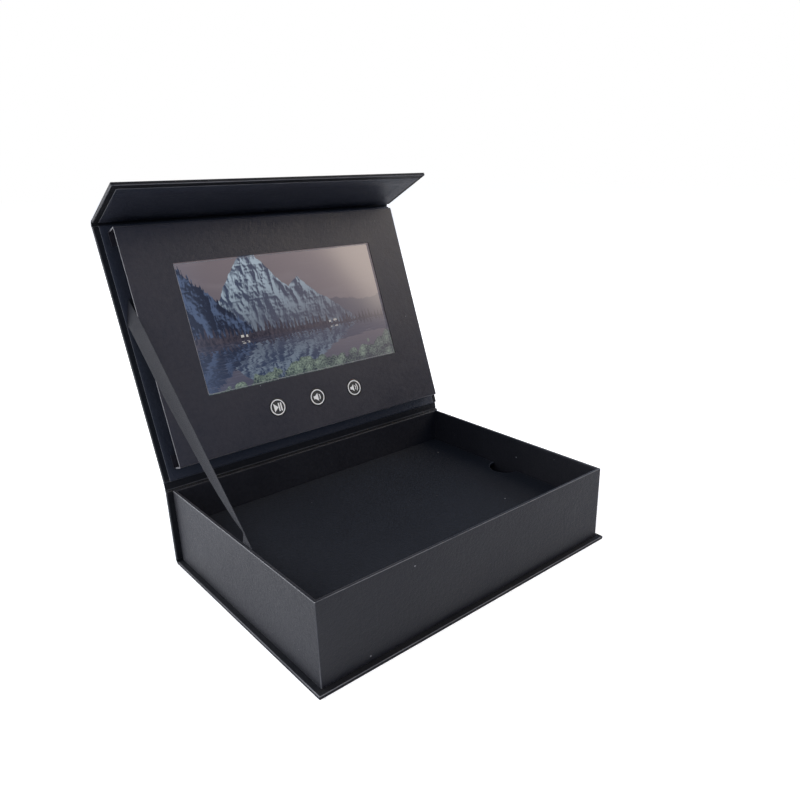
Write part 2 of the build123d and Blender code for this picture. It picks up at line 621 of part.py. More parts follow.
with BuildPart() as flap_wrap:
    case_wrap(flap_plane, HALF_GAP, FLAP_TIP, far_tip=1)
flap_wrap.part.label = "flap_wrap"
export_step(flap_wrap.part, "parts/flap_wrap.step")

with BuildPart() as flap_liner:
    case_liner(flap_plane, HALF_GAP, FLAP_TIP, far_tip=1)
flap_liner.part.label = "flap_liner"
export_step(flap_liner.part, "parts/flap_liner.step")

with BuildPart() as flap_magnets:
    discs(flap_plane, magnet_centres, MAGNET_RADIUS, magnet_levels)
flap_magnets.part.label = "flap_magnets"
export_step(flap_magnets.part, "parts/flap_magnets.step")

with BuildPart() as flap_crease:
    crease(lid_plane, LID_END, FLAP_FOLD)
flap_crease.part.label = "flap_crease"
export_step(flap_crease.part, "parts/flap_crease.step")

# ---- Ribbon stay: glued inside the sleeve, out of its open end, and down the tray's left wall ----
RIBBON_WIDTH = 10.0
RIBBON_THICK = 0.3
RIBBON_TAIL = (18.8, 11.5)  # from the crease in, across and up the lid
crease_right = Vector(-105.9, 118.0, INNER)  # the ribbon's own oblique crease, on the liner
crease_left = Vector(-111.2, 101.6, INNER)
EDGE_RIGHT = -107.5  # the ribbon's right edge where it passes the sleeve's open end
EDGE_DROP = 20.0  # that place, along the ribbon from its crease
WALL_Y = -12.0  # middle of the tail on the tray's wall
WALL_TAIL_Z = 38.0
WALL_TOP_Z = RIM_Z + 0.1

top_right = lid_plane.from_local_coords(crease_right)
top_left = lid_plane.from_local_coords(crease_left)
crease_middle = (top_right + top_left) / 2
crease_along = (top_right - top_left).normalized()
wall_top = Vector(-INSIDE_X + RIBBON_THICK / 2, WALL_Y, WALL_TOP_Z)
drop = (wall_top - crease_middle).normalized()
drop_across = (crease_along - drop * crease_along.dot(drop)).normalized()
edge_middle = crease_middle + drop * EDGE_DROP
edge_right_x = edge_middle.X + drop_across.X * RIBBON_WIDTH / 2
edge_middle = edge_middle + Vector(EDGE_RIGHT - edge_right_x, 0, 0)

top_plane = Plane(origin=crease_middle, x_dir=crease_along, z_dir=lid_in)
edge_plane = Plane(origin=edge_middle, x_dir=drop_across, z_dir=drop)
wall_plane = Plane(origin=wall_top, x_dir=(0, -1, 0), z_dir=(0, 0, -1))
crease_length = (top_right - top_left).length


def ribbon_run(start, start_size, end, end_size):
    """A stretch of ribbon between two oblong sections, each centred on its plane."""
    with BuildSketch(start) as first:
        Rectangle(*start_size)
    with BuildSketch(end) as last:
        Rectangle(*end_size)
    loft([first.sketch, last.sketch], ruled=True)


with BuildPart() as ribbon:
    section_size = (RIBBON_WIDTH, RIBBON_THICK)
    ribbon_run(top_plane, (crease_length, 2 * RIBBON_THICK), edge_plane, section_size)
    ribbon_run(edge_plane, section_size, wall_plane, section_size)
    with BuildSketch(lid_plane.offset(INNER)):
        with BuildLine():
            right = (crease_right.X, crease_right.Y)
            left = (crease_left.X, crease_left.Y)
            left_end = (left[0] + RIBBON_TAIL[0], left[1] + RIBBON_TAIL[1])
            right_end = (right[0] + RIBBON_TAIL[0], right[1] + RIBBON_TAIL[1])
            Polyline(right, left, left_end, right_end, close=True)
        make_face()
    extrude(amount=RIBBON_THICK)
    tail_x = (-INSIDE_X, -INSIDE_X + RIBBON_THICK)
    slab(Plane.XY, tail_x, (WALL_Y - 5, WALL_Y + 5), (WALL_TAIL_Z, WALL_TOP_Z))
ribbon.part.label = "ribbon"
export_step(ribbon.part, "parts/ribbon.step")
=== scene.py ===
"""A rigid presentation box, open, with a video screen in its lid and a tray in its base.

The sections follow the box as it is put together. Sizes are in millimetres until a mesh is made.
"""

import bpy
import numpy as np
from mathutils import Matrix, Vector


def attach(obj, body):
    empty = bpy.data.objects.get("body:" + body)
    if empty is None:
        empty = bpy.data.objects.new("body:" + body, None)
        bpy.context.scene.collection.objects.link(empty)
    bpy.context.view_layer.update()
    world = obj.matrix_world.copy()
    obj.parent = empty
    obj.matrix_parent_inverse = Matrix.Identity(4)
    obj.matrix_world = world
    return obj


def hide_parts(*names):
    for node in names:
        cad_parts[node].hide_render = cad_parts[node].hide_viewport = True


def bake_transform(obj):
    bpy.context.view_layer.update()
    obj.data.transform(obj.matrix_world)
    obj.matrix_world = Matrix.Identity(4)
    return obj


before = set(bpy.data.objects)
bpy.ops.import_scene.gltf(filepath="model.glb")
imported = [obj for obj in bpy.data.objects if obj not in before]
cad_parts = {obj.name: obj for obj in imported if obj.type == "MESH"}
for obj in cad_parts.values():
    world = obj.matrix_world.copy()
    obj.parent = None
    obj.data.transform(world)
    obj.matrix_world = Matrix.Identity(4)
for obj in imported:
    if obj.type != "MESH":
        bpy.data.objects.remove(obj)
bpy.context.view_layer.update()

# ---- Greyboard -----------------------------------------------------------------------------------
# The stiff core of every panel: recycled pulp board, grey-brown with darker fibres, cut square.
# It is wrapped in paper, so it shows only where a cut face is left open inside the box.


def join(tree, made, inputs):
    """Fills a node's inputs, each with a number, numbers, a colour or another node's output."""
    for name, value in inputs.items():
        socket = made.inputs[name]
        if isinstance(value, bpy.types.NodeSocket):
            tree.links.new(value, socket)
        else:
            socket.default_value = (*value, 1) if socket.type == "RGBA" else value


def node(tree, kind, inputs, **settings):
    """The outputs of a new shader node, with its settings and inputs."""
    made = tree.nodes.new("ShaderNode" + kind)
    for name, value in settings.items():
        setattr(made, name, value)
    join(tree, made, inputs)
    return made.outputs


def noise(tree, place, scale, detail, roughness=0.5):
    """Cloudy noise, from about 0.25 to 0.75 over the surface."""
    return node(tree, "TexNoise", {
        "Vector": place, "Scale": scale, "Detail": detail, "Roughness": roughness,
    })["Fac"]


def ranged(tree, value, low, high, least=0.0, most=1.0):
    """least below low, most above high, and even between them."""
    return node(tree, "MapRange", {
        "Value": value, "From Min": low, "From Max": high, "To Min": least, "To Max": most,
    })["Result"]


def mixed(tree, share, below, above):
    """Two colours mixed: below x (1 - share) + above x share."""
    inputs = {"Factor": share, "A": below, "B": above}
    return node(tree, "Mix", inputs, data_type="RGBA")["Result"]


def bumped(tree, height, strength, distance, **more):
    """A normal that leans with the slope of a height."""
    inputs = {"Height": height, "Strength": strength, "Distance": distance, **more}
    return node(tree, "Bump", inputs)["Normal"]


def effect(name, takes, gives):
    """A new node group: its tree, the sockets that it takes, and the node that ends it.

    takes lists each socket's name, kind and first value, and gives its name and kind.
    """
    tree = bpy.data.node_groups.new(name, "ShaderNodeTree")
    for label, kind, value in takes:
        kind = "NodeSocket" + kind
        made = tree.interface.new_socket(name=label, in_out="INPUT", socket_type=kind)
        if value is not None:
            made.default_value = value
    for label, kind in gives:
        kind = "NodeSocket" + kind
        tree.interface.new_socket(name=label, in_out="OUTPUT", socket_type=kind)
    return tree, tree.nodes.new("NodeGroupInput").outputs, tree.nodes.new("NodeGroupOutput")


def material(name):
    """A new material: its node tree, its Principled shader and the Object coordinates."""
    made = bpy.data.materials.new(name)
    made.use_nodes = True
    tree = made.node_tree
    shader = tree.nodes["Principled BSDF"]
    return made, tree, shader, tree.nodes.new("ShaderNodeTexCoord").outputs["Object"]


def finish_nodes(made, *names):
    """Gives a finish to CAD nodes whose own shape is right."""
    for name in names:
        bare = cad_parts[name]
        bare.data.materials.clear()
        bare.data.materials.append(made)


# Pulp: short fibres, stretched across the board, and clouds.
pulp, taken, end_of_pulp = effect(
    "pulp_fibres",
    [("Place", "Vector", None), ("Fibre Scale", "Float", 900.0), ("Cloud Scale", "Float", 60.0)],
    [("Fibres", "Float"), ("Clouds", "Float")],
)
drawn = node(pulp, "VectorMath", {0: taken["Place"], 1: (1.0, 0.35, 0.6)}, operation="MULTIPLY")
join(pulp, end_of_pulp, {
    "Fibres": noise(pulp, drawn[0], taken["Fibre Scale"], 4.0, 0.6),
    "Clouds": noise(pulp, taken["Place"], taken["Cloud Scale"], 3.0),
})


def pulp_in(tree, place, fibre_scale, cloud_scale):
    """The pulp effect's outputs, at this material's scales."""
    scales = {"Fibre Scale": fibre_scale, "Cloud Scale": cloud_scale}
    return node(tree, "Group", {"Place": place, **scales}, node_tree=pulp)


greyboard, tree, shader, place = material("greyboard")
fibres = pulp_in(tree, place, 1400.0, 80.0)["Fibres"]
tone = mixed(tree, ranged(tree, fibres, 0.32, 0.68), (0.12, 0.105, 0.085), (0.33, 0.30, 0.25))
relief = bumped(tree, fibres, 0.5, 0.0002)
join(tree, shader, {"Base Color": tone, "Normal": relief, "Roughness": 0.9})
finish_nodes(
    greyboard,
    "base_board", "spine_board", "lid_board", "flap_board",
    "tray_bottom_board", "tray_front_board", "tray_back_board",
    "tray_left_board", "tray_right_board", "platform_board", "platform_supports",
)

# ---- Case wrap: base, bottom crease and spine ----------------------------------------------------
# Black paper, matt-laminated, pasted round the boards and turned in over their edges. The turn-ins
# are mitred at the base's front corners. Between base and spine the paper bends round as a crease.
PAPER = 0.2
CASE_HALF = 115.0
LINER_HALF = 111.4
HALF_GAP = 2.9  # crease axis to board end
OUTER, TURNED_IN = -0.6, 1.6  # levels of outer face and turn-in, inward from the crease axes
CREASED = -0.12  # level of the paper's inner face where it is pressed into a crease
FOLD_ROUND = 0.5  # the paper's radius over a board's edge
CUT_SQUARE = 0.05  # as good as sharp, for corners that stay square
TURN_IN = 15.0
FACE_IN = 18.0  # from the rim in to the ring that the outer face is stretched over
OVERLAP = 0.09  # how much higher the side turn-ins lie on the tip's
BASE_TIP = 168.4
SPINE_END = 51.4
QUARTER = np.radians([0, 22, 45, 68, 90])  # the steps of a fold
FOLDED = np.sin(2 * QUARTER)  # 0 at a fold's ends and 1 at its middle
# How much folds are lightened, partly as rubbed wear and partly as a painted highlight: at tips'
# corners, along edges, along creases and at creases' side edges.
CORNER_WEAR_AND_HIGHLIGHT, EDGE_WEAR_AND_HIGHLIGHT, CREASE_WEAR_AND_HIGHLIGHT, CREASE_END_WEAR_AND_HIGHLIGHT = 0.91, 0.315, 0.45, 0.8

# A panel is its crease axis, the way along it, and the way inward from its outer face.
BASE = (np.array([0, 83.8, 0.6]), np.array([0, 1.0, 0]), np.array([0, 0, 1.0]))
SPINE = (np.array([0, 83.8, 0.6]), np.array([0, 0, 1.0]), np.array([0, -1.0, 0]))


def laid(panel, x, along, level):
    """Places in the box's frame: the panel's crease axis, plus x, plus its two ways' shares."""
    x, along, level = np.broadcast_arrays(x, along, level)
    origin, way, off = panel
    return np.stack([x, *(origin[i] + along * way[i] + level * off[i] for i in (1, 2))], axis=-1)


CORNER = np.radians([0, 0, 22, 45, 68, 90, 90])
CORNER_AHEAD = np.array([-0.5, 0, 0, 0, 0, 0, 0.5])
PER_CORNER = len(CORNER)


def outlines(half, low, high, low_round, high_round):
    """Rectangles with rounded corners, one row each: corner centre + radius x (cosine, sine).

    Points run anticlockwise from the corner at the right and low end. The first and last point of
    a corner stand a little way along the straight sides, which keeps those flat.
    """
    half, low, high, low_round, high_round = (
        a.reshape(-1, 1) for a in np.broadcast_arrays(half, low, high, low_round, high_round)
    )
    corners = [
        (half - low_round, low + low_round, low_round, CORNER - np.pi / 2),
        (half - high_round, high - high_round, high_round, CORNER),
        (high_round - half, high - high_round, high_round, CORNER + np.pi / 2),
        (low_round - half, low + low_round, low_round, CORNER + np.pi),
    ]
    x = [cx + r * np.cos(t) - CORNER_AHEAD * np.sin(t) for cx, cy, r, t in corners]
    along = [cy + r * np.sin(t) + CORNER_AHEAD * np.cos(t) for cx, cy, r, t in corners]
    return np.concatenate(x, axis=1), np.concatenate(along, axis=1)


SHARP = np.radians(38)  # edges that bend more than this stay sharp


def piece(name, points, faces, *finishes, finish_of_face=None, wear_and_highlight=None):
    """A mesh object at the origin from places in millimetres, its faces shaded smooth.

    The last keyword holds one value a point: how much a fold is lightened there, partly rubbed
    wear and partly a painted highlight. Above 1 the paper is chipped through.
    """
    mesh = bpy.data.meshes.new(name)
    mesh.from_pydata((np.asarray(points).reshape(-1, 3) / 1000).tolist(), [], faces)
    for made in finishes:
        mesh.materials.append(made)
    if finish_of_face is not None:
        mesh.polygons.foreach_set("material_index", np.asarray(finish_of_face, np.int32))
    if wear_and_highlight is not None:
        rub_and_highlight = mesh.attributes.new("wear_and_highlight", "FLOAT", "POINT")
        rub_and_highlight.data.foreach_set("value", np.asarray(wear_and_highlight, np.float32).ravel())
    mesh.polygons.foreach_set("use_smooth", np.ones(len(mesh.polygons), bool))
    mesh.set_sharp_from_angle(angle=SHARP)
    made = bpy.data.objects.new(name, mesh)
    bpy.context.scene.collection.objects.link(made)
    return made


def ring_faces(rings, count, closed=False, gap=-1):
    """Quads between neighbouring rings of count points, and from the last to the first if closed.

    Each is point j and j + 1 of a ring, and the same two of the next. None follow the ring at gap.
    """
    i, j = np.meshgrid(np.arange(rings - 1 + closed), np.arange(count), indexing="ij")
    here, after, k = i * count, (i + 1) % rings * count, (j + 1) % count
    return np.stack([here + j, here + k, after + k, after + j], -1)[i != gap].tolist()


def cap(ring, count, turned=False):
    """One face over a whole ring: all of its points in order, or in reverse where it looks down."""
    return [(ring * count + np.arange(count))[::-1 if turned else 1].tolist()]


def wrapped_board(panel, low, high, low_tip, high_tip):
    """The wrap of one board, as rings: each is an outline, set in from the rim and at a level.

    They go from the outer face's middle round the edge to the turn-in's raw edge, and back between
    paper and board. A fold is set in by radius - radius x sine, then by radius - radius x cosine.
    At a crease the outer face runs on flush, and the paper covers the board's end.
    """
    r, flat, square = FOLD_ROUND, 0 * QUARTER, CUT_SQUARE
    sine, cosine = r * np.sin(QUARTER), r * np.cos(QUARTER)
    level = np.concatenate([
        [OUTER] * 2, OUTER + r - cosine, TURNED_IN - r + sine,
        [TURNED_IN, TURNED_IN, TURNED_IN - PAPER, TURNED_IN - PAPER, OUTER + PAPER, OUTER + PAPER],
    ])
    # How far each ring is set in at a folded edge and at a crease, and its corners' radius.
    inset = np.concatenate([
        [FACE_IN, 1], r - sine, r - cosine, [0.9, TURN_IN, TURN_IN, PAPER, PAPER, FACE_IN],
    ])
    crease = np.concatenate([
        [0, 0], flat - 0.1 * (QUARTER > 1.5), r - 0.1 - cosine, [0.8, 2.8, 2.8, 0.02, 0.02, 0.02],
    ])
    plan = np.concatenate([
        [square] * 2, 0.55 - r + sine, square + cosine, [square] * 3, [2 * square] * 3,
    ])
    low_in, high_in = (inset if tip else crease for tip in (low_tip, high_tip))
    low_round, high_round = (plan if tip else square + 0 * plan for tip in (low_tip, high_tip))
    x, along = outlines(CASE_HALF - inset, low + low_in, high - high_in, low_round, high_round)
    rings, count = x.shape
    side = np.zeros(count)  # the side turn-ins lie on the tip's, up to the mitre
    order = np.arange(PER_CORNER)
    for corner, tip in ((0, low_tip), (1, high_tip), (2, high_tip), (3, low_tip)):
        beside = order > 3 if corner in (0, 2) else order < 3
        side[corner * PER_CORNER + order] = beside if tip else 1
    lifted = (level > TURNED_IN - 0.02) & (inset > r - 0.01) & (inset < TURN_IN + 1)
    depth = level[:, None] + OVERLAP * side * lifted[:, None]
    faces = ring_faces(rings, count) + cap(0, count, True) + cap(rings - 1, count)
    # The folds round the edge are lightened: partly rubbed wear, partly a painted highlight.
    rub_and_highlight = np.concatenate([[0, 0], FOLDED, FOLDED, 0 * inset[12:]])
    at_corner = np.repeat([low_tip, high_tip, high_tip, low_tip], PER_CORNER)
    wear_and_highlight = rub_and_highlight[:, None] * np.where(at_corner, CORNER_WEAR_AND_HIGHLIGHT, EDGE_WEAR_AND_HIGHLIGHT)
    return laid(panel, x, along, depth).reshape(-1, 3), faces, wear_and_highlight.ravel()


def sheet_faces(rows, columns, start=0):
    """The faces of a closed sheet: top grid, under grid and cut edges, and which kind each is.

    The kinds are 0 for top and under, 1 for the first and last rows' edges, 2 for the sides'.
    """
    i, j = np.meshgrid(np.arange(rows - 1), np.arange(columns - 1), indexing="ij")
    a = (i * columns + j).ravel()
    top = np.stack([a, a + 1, a + columns + 1, a + columns], -1)
    under = top[:, ::-1] + rows * columns
    row, column = np.arange(rows), np.arange(columns)
    loop = np.concatenate([column[:-1], row[:-1] * columns + columns - 1,
                           (rows - 1) * columns + column[:0:-1], row[:0:-1] * columns])
    after = np.roll(loop, -1)
    cut = np.stack([loop + rows * columns, after + rows * columns, after, loop], -1)
    kind = np.repeat([0, 1, 2, 1, 2], [2 * len(top), columns - 1, rows - 1, columns - 1, rows - 1])
    return (np.concatenate([top, under, cut]) + start).tolist(), kind


def crease_strip(panel, end, turn, steps=14):
    """Wrap and liner bent from one board's end to the next: a grid of turn by width.

    Place = bend's centre + (radius - height) x (sine, -cosine of the turn so far), where the
    radius is half gap / tangent of half the turn + the pivot's depth, negative for an outward bend.
    The heights drop from the liner's to the wrap's, and round off at the two ends.
    """
    radius = HALF_GAP / np.tan(turn / 2) - OUTER
    half = np.array([CASE_HALF, CASE_HALF - 0.06, CASE_HALF - 0.2,
                     LINER_HALF + 0.2, LINER_HALF, LINER_HALF - 0.1, 60])
    x = np.concatenate([-half, [0], half[::-1]])
    top = np.array([-0.4, -0.29, -0.25, -0.25, -0.25, CREASED, CREASED])
    top = np.concatenate([top, [CREASED], top[::-1]])
    under = np.array([-0.44, -0.53] + 11 * [OUTER] + [-0.53, -0.44])
    angle = np.linspace(0, turn, steps)[:, None]
    grids = []
    for level in (top, under):
        reach = radius - (level - OUTER)
        bent = laid(panel, x, end + reach * np.sin(angle), radius + OUTER - reach * np.cos(angle))
        grids.append(bent.reshape(-1, 3))
    # The crease's side edges and the rows where it meets the boards are lightened: partly rubbed
    # wear, partly a painted highlight.
    rub_and_highlight = np.zeros((2, steps, len(x)))
    rub_and_highlight[:, :, [0, 1, -2, -1]] = CREASE_END_WEAR_AND_HIGHLIGHT
    rub_and_highlight[:, [0, 1, -2, -1]] = CREASE_WEAR_AND_HIGHLIGHT
    return np.concatenate(grids), sheet_faces(steps, len(x))[0], rub_and_highlight.ravel()


def maths(tree, operation, *values):
    """A value over the surface, from one to three others."""
    return node(tree, "Math", dict(enumerate(values)), operation=operation)[0]


def added(tree, first, scale, second):
    """first x scale + second."""
    return maths(tree, "MULTIPLY_ADD", first, scale, second)


# Paper: fine tooth, a coarser mottle, wide clouds, and specks of dust. A speck is a round spot of
# its own size in a cell that chance picks. Scales are in features for each metre.
CLOUD_SCALE = 22.0
SPECK_CELLS, LARGEST_SPECK = 420.0, 0.22
tooth, taken, end_of_tooth = effect(
    "paper_tooth",
    [("Place", "Vector", None), ("Tooth", "Float", 1500.0), ("Speck Share", "Float", 0.003)],
    [("Grain", "Float"), ("Mottle", "Float"), ("Clouds", "Float"), ("Specks", "Float")],
)
spots = node(tooth, "TexVoronoi", {"Vector": taken["Place"], "Scale": SPECK_CELLS})
chance = node(tooth, "SeparateColor", {"Color": spots["Color"]})
picked = maths(tooth, "LESS_THAN", chance[0], taken["Speck Share"])
speck_size = maths(tooth, "MULTIPLY", chance[1], LARGEST_SPECK)
near = maths(tooth, "LESS_THAN", spots["Distance"], speck_size)
coarse = maths(tooth, "MULTIPLY", taken["Tooth"], 0.28)
join(tooth, end_of_tooth, {
    "Grain": noise(tooth, taken["Place"], taken["Tooth"], 3.0, 0.65),
    "Mottle": noise(tooth, taken["Place"], coarse, 5.0, 0.7),
    "Clouds": noise(tooth, taken["Place"], CLOUD_SCALE, 4.0, 0.55),
    "Specks": maths(tooth, "MULTIPLY", picked, near),
})
# The grey of a lightened fold is partly rubbed paper and partly a painted highlight. Chips show the
# white core, and specks are dust.
RUB_AND_HIGHLIGHT_GREY, WHITE_CORE, DUST = (0.19, 0.19, 0.20), (0.6, 0.6, 0.58), (0.20, 0.20, 0.21)


def black_paper(name, dark, light, roughness, gloss=0.3, tooth_scale=1500.0, speck_share=0.003,
                depth=0.0002, beneath=None):
    """Black paper, whose colour drifts from dark to light by 0.7 grain + 1.3 mottle + 0.5 clouds.

    Roughness drifts with the same three. Folds are lightened to a grey in cloudy patches by the
    per-point value that piece() stores: partly rubbed wear, partly a painted highlight on the fold.
    They are chipped to the white core where that value x grain passes 0.72. The bump is
    grain + 4 mottle over clouds. beneath gives a height for what stands out through the paper.
    """
    made, tree, shader, place = material(name)
    tooth_here = {"Place": place, "Tooth": tooth_scale, "Speck Share": speck_share}
    grain, mottle, clouds, specks = node(tree, "Group", tooth_here, node_tree=tooth)
    shade = added(tree, clouds, 0.5, added(tree, mottle, 1.3, added(tree, grain, 0.7, -0.72)))
    tone = mixed(tree, shade, dark, light)
    # A grey over the folds in cloudy patches: partly rubbed wear, partly a painted highlight.
    wear_and_highlight = node(tree, "Attribute", {}, attribute_name="wear_and_highlight")["Fac"]
    patchy = maths(tree, "MULTIPLY", ranged(tree, clouds, 0.35, 0.6, 0.5), wear_and_highlight)
    tone = mixed(tree, patchy, tone, RUB_AND_HIGHLIGHT_GREY)
    chips = ranged(tree, maths(tree, "MULTIPLY", wear_and_highlight, grain), 0.72, 0.85)
    tone = mixed(tree, specks, mixed(tree, chips, tone, WHITE_CORE), DUST)
    rough = added(tree, mottle, 0.5, maths(tree, "MULTIPLY", grain, 0.5))
    rough = added(tree, clouds, 0.4, rough)
    relief = bumped(tree, added(tree, mottle, 4.0, grain), 0.4, depth)
    relief = bumped(tree, clouds, 0.5, 0.0008, Normal=relief)
    if beneath:
        relief = bumped(tree, beneath(tree, place), 1.0, 0.00007, Normal=relief)
    join(tree, shader, {
        "Base Color": tone, "Normal": relief,
        "Roughness": ranged(tree, rough, 0.55, 0.85, roughness - 0.1, roughness + 0.1),
        "Specular IOR Level": gloss, "Specular Tint": (0.90, 0.935, 1.0),
    })
    return made


case_paper = black_paper("case_paper", (0.006, 0.0063, 0.0078), (0.015, 0.0155, 0.018), 0.54, 0.1)

points, faces, wear_and_highlight = wrapped_board(BASE, -BASE_TIP, -HALF_GAP, True, False)
bend_points, bend_faces, bend_wear_and_highlight = crease_strip(BASE, -HALF_GAP, np.radians(90))
faces += (np.array(bend_faces) + len(points)).tolist()
base_wrap = piece("base_wrap_paper", np.concatenate([points, bend_points]), faces, case_paper,
                  wear_and_highlight=np.concatenate([wear_and_highlight, bend_wear_and_highlight]))
points, faces, wear_and_highlight = wrapped_board(SPINE, HALF_GAP, SPINE_END, False, False)
spine_wrap = piece("spine_wrap_paper", points, faces, case_paper, wear_and_highlight=wear_and_highlight)
for wrap, stands_for in ((base_wrap, "base_wrap"), (spine_wrap, "spine_wrap")):
    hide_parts(stands_for)
    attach(wrap, "tray")
finish_nodes(case_paper, "base_liner", "spine_liner")

# ---- Tray ----------------------------------------------------------------------------------------
# A bottom and four walls butted at the corners and wrapped in one sheet, over the rim and down the
# inside. The sheet's own corners are cut, so a seam stands at each upright edge.
TRAY_X, TRAY_Y = 111.5, 81.0
TRAY_LOW, RIM = 2.4, 52.4
WALL = 2.0
TRAY_TURN_IN = 12.0
FLOOR_UNDER = 4.2
FLAT_END = 1.2  # a ring this far from a fold keeps the wall flat
TRAY = (np.zeros(3), np.array([0, 1.0, 0]), np.array([0, 0, 1.0]))

r = FOLD_ROUND
sine, cosine = r * np.sin(QUARTER), r * np.cos(QUARTER)
inset = np.concatenate([[TRAY_TURN_IN] * 2, r - sine, [0, 0], r - cosine, WALL - r + sine,
                        [WALL, WALL, WALL - PAPER, WALL - PAPER, PAPER, PAPER]])
level = np.concatenate([
    [TRAY_LOW + PAPER, TRAY_LOW], TRAY_LOW + r - cosine, [TRAY_LOW + FLAT_END, RIM - FLAT_END],
    RIM - r + sine, RIM - r + cosine,
    [RIM - FLAT_END, FLOOR_UNDER, FLOOR_UNDER, RIM - PAPER, RIM - PAPER, TRAY_LOW + PAPER],
])
plan = np.where(inset < 1.2, np.maximum(0.55 - inset, 0.06), 0.12)
x, along = outlines(TRAY_X - inset, inset - TRAY_Y, TRAY_Y - inset, plan, plan)


def plates_beneath(tree, place):
    """Height over the two keeper plates in the front wall: half size - distance from the middle."""
    parts = node(tree, "SeparateXYZ", {"Vector": place})
    inside = []
    for axis, middle, half in (("X", 0.081, 0.0053), ("Z", 0.0289, 0.0063)):
        away = maths(tree, "SUBTRACT", maths(tree, "ABSOLUTE", parts[axis]), middle)
        inside.append(maths(tree, "SUBTRACT", half, maths(tree, "ABSOLUTE", away)))
    raised = ranged(tree, maths(tree, "MINIMUM", *inside), -0.0004, 0.0004)
    return maths(tree, "MULTIPLY", raised, ranged(tree, parts["Y"], -0.0805, -0.0808))


tray_paper = black_paper("tray_paper", (0.0055, 0.0058, 0.0082), (0.015, 0.015, 0.019), 0.44,
                         beneath=plates_beneath)
# The folds of bottom and rim are lightened most near the corners, and the upright seams all along:
# partly rubbed wear, partly a painted highlight on the folds.
rub_and_highlight = np.concatenate([[0, 0], 0.5 * FOLDED, [0, 0], 0.75 * FOLDED ** 3, 0.14 - 0.08 * QUARTER,
                         0 * inset[19:]])
near_corner = np.tile([0.1, 0.4, 1.2, 1.8, 1.2, 0.4, 0.1], 4)
at_seam_and_highlight = np.tile(np.concatenate([[0], FOLDED, [0]]), 4)
upright = (inset == 0) & (level > TRAY_LOW)
wear_and_highlight = np.maximum(rub_and_highlight[:, None] * (1 + near_corner), 0.6 * at_seam_and_highlight * upright[:, None])
tray_wrap = piece("tray_wrap_paper", laid(TRAY, x, along, level[:, None]),
                  ring_faces(*x.shape, closed=True), tray_paper, wear_and_highlight=wear_and_highlight)
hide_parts("tray_wrap")
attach(tray_wrap, "tray")
finish_nodes(tray_paper, "tray_floor_paper")

# ---- Platform ------------------------------------------------------------------------------------
# A loose board on four greyboard strips, wrapped in a matt black paper that is glued down under it.
# A half-round notch for the thumb is cut in its right edge, and the paper is turned in there too.
PLATFORM_X, PLATFORM_Y = 108.9, 78.4
PLATFORM_LOW, PLATFORM_TOP = 26.4, 28.4
PLATFORM_TURN_IN = 20.0
NOTCH, NOTCH_Y = 11.5, 0.5
NOTCH_POINTS = 25
PLATFORM_ROUND = 0.4


def notched_outlines(inset, plan):
    """Rectangles with a round notch in the right side, whose radius grows with the inset.

    Notch = its middle + radius x (-cosine, sine), out to where the circle meets the side.
    """
    x, along = outlines(PLATFORM_X - inset, inset - PLATFORM_Y, PLATFORM_Y - inset, plan, plan)
    radius = (NOTCH + inset)[:, None]
    turned = np.arccos(inset[:, None] / radius) * np.linspace(-1, 1, NOTCH_POINTS)
    notch_x = PLATFORM_X - radius * np.cos(turned)
    notch_y = NOTCH_Y + radius * np.sin(turned)
    return (np.concatenate([x[:, :PER_CORNER], notch_x, x[:, PER_CORNER:]], axis=1),
            np.concatenate([along[:, :PER_CORNER], notch_y, along[:, PER_CORNER:]], axis=1))


r = PLATFORM_ROUND
sine, cosine = r * np.sin(QUARTER), r * np.cos(QUARTER)
inset = np.concatenate([[PLATFORM_TURN_IN] * 2, r - sine, r - cosine, [1.0, 1.0, PAPER, PAPER]])
level = np.concatenate([
    [PLATFORM_LOW + PAPER, PLATFORM_LOW], PLATFORM_LOW + r - cosine, PLATFORM_TOP - r + sine,
    [PLATFORM_TOP, PLATFORM_TOP - PAPER, PLATFORM_TOP - PAPER, PLATFORM_LOW + PAPER],
])
x, along = notched_outlines(inset, np.maximum(0.5 - inset, 0.06))
rings, count = x.shape
top_ring = rings - 4  # the ring that the top face is stretched over; the next is the paper's inside
faces = ring_faces(rings, count, closed=True, gap=top_ring)
faces += cap(top_ring, count) + cap(top_ring + 1, count, True)
in_notch = (np.arange(count) >= PER_CORNER) & (np.arange(count) < PER_CORNER + NOTCH_POINTS)
# The notch's top fold is lightened: partly rubbed wear, partly a painted highlight.
rub_and_highlight = 0.8 * np.concatenate([[0, 0], 0 * QUARTER, FOLDED, 0 * inset[12:]])
platform_paper = black_paper("platform_paper", (0.008, 0.009, 0.0118), (0.020, 0.0222, 0.0285),
                             0.6, gloss=0.14, speck_share=0.005)
platform_wrap = piece("platform_wrap_paper", laid(TRAY, x, along, level[:, None]), faces,
                      platform_paper, wear_and_highlight=rub_and_highlight[:, None] * in_notch)
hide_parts("platform_wrap")
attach(platform_wrap, "platform")

# ---- Lid and flap wraps --------------------------------------------------------------------------
# The case's sheet of paper runs on from the spine over the lid and the flap. It is turned in round
# both boards, and its corners are mitred at the flap's tip.
LEAN, FOLD = np.radians(20.0), np.radians(83.5)  # lid's lean back, and flap's turn from the lid
LID_LENGTH = 167.5
LID_END = LID_LENGTH - HALF_GAP
FLAP_TIP = 52.2

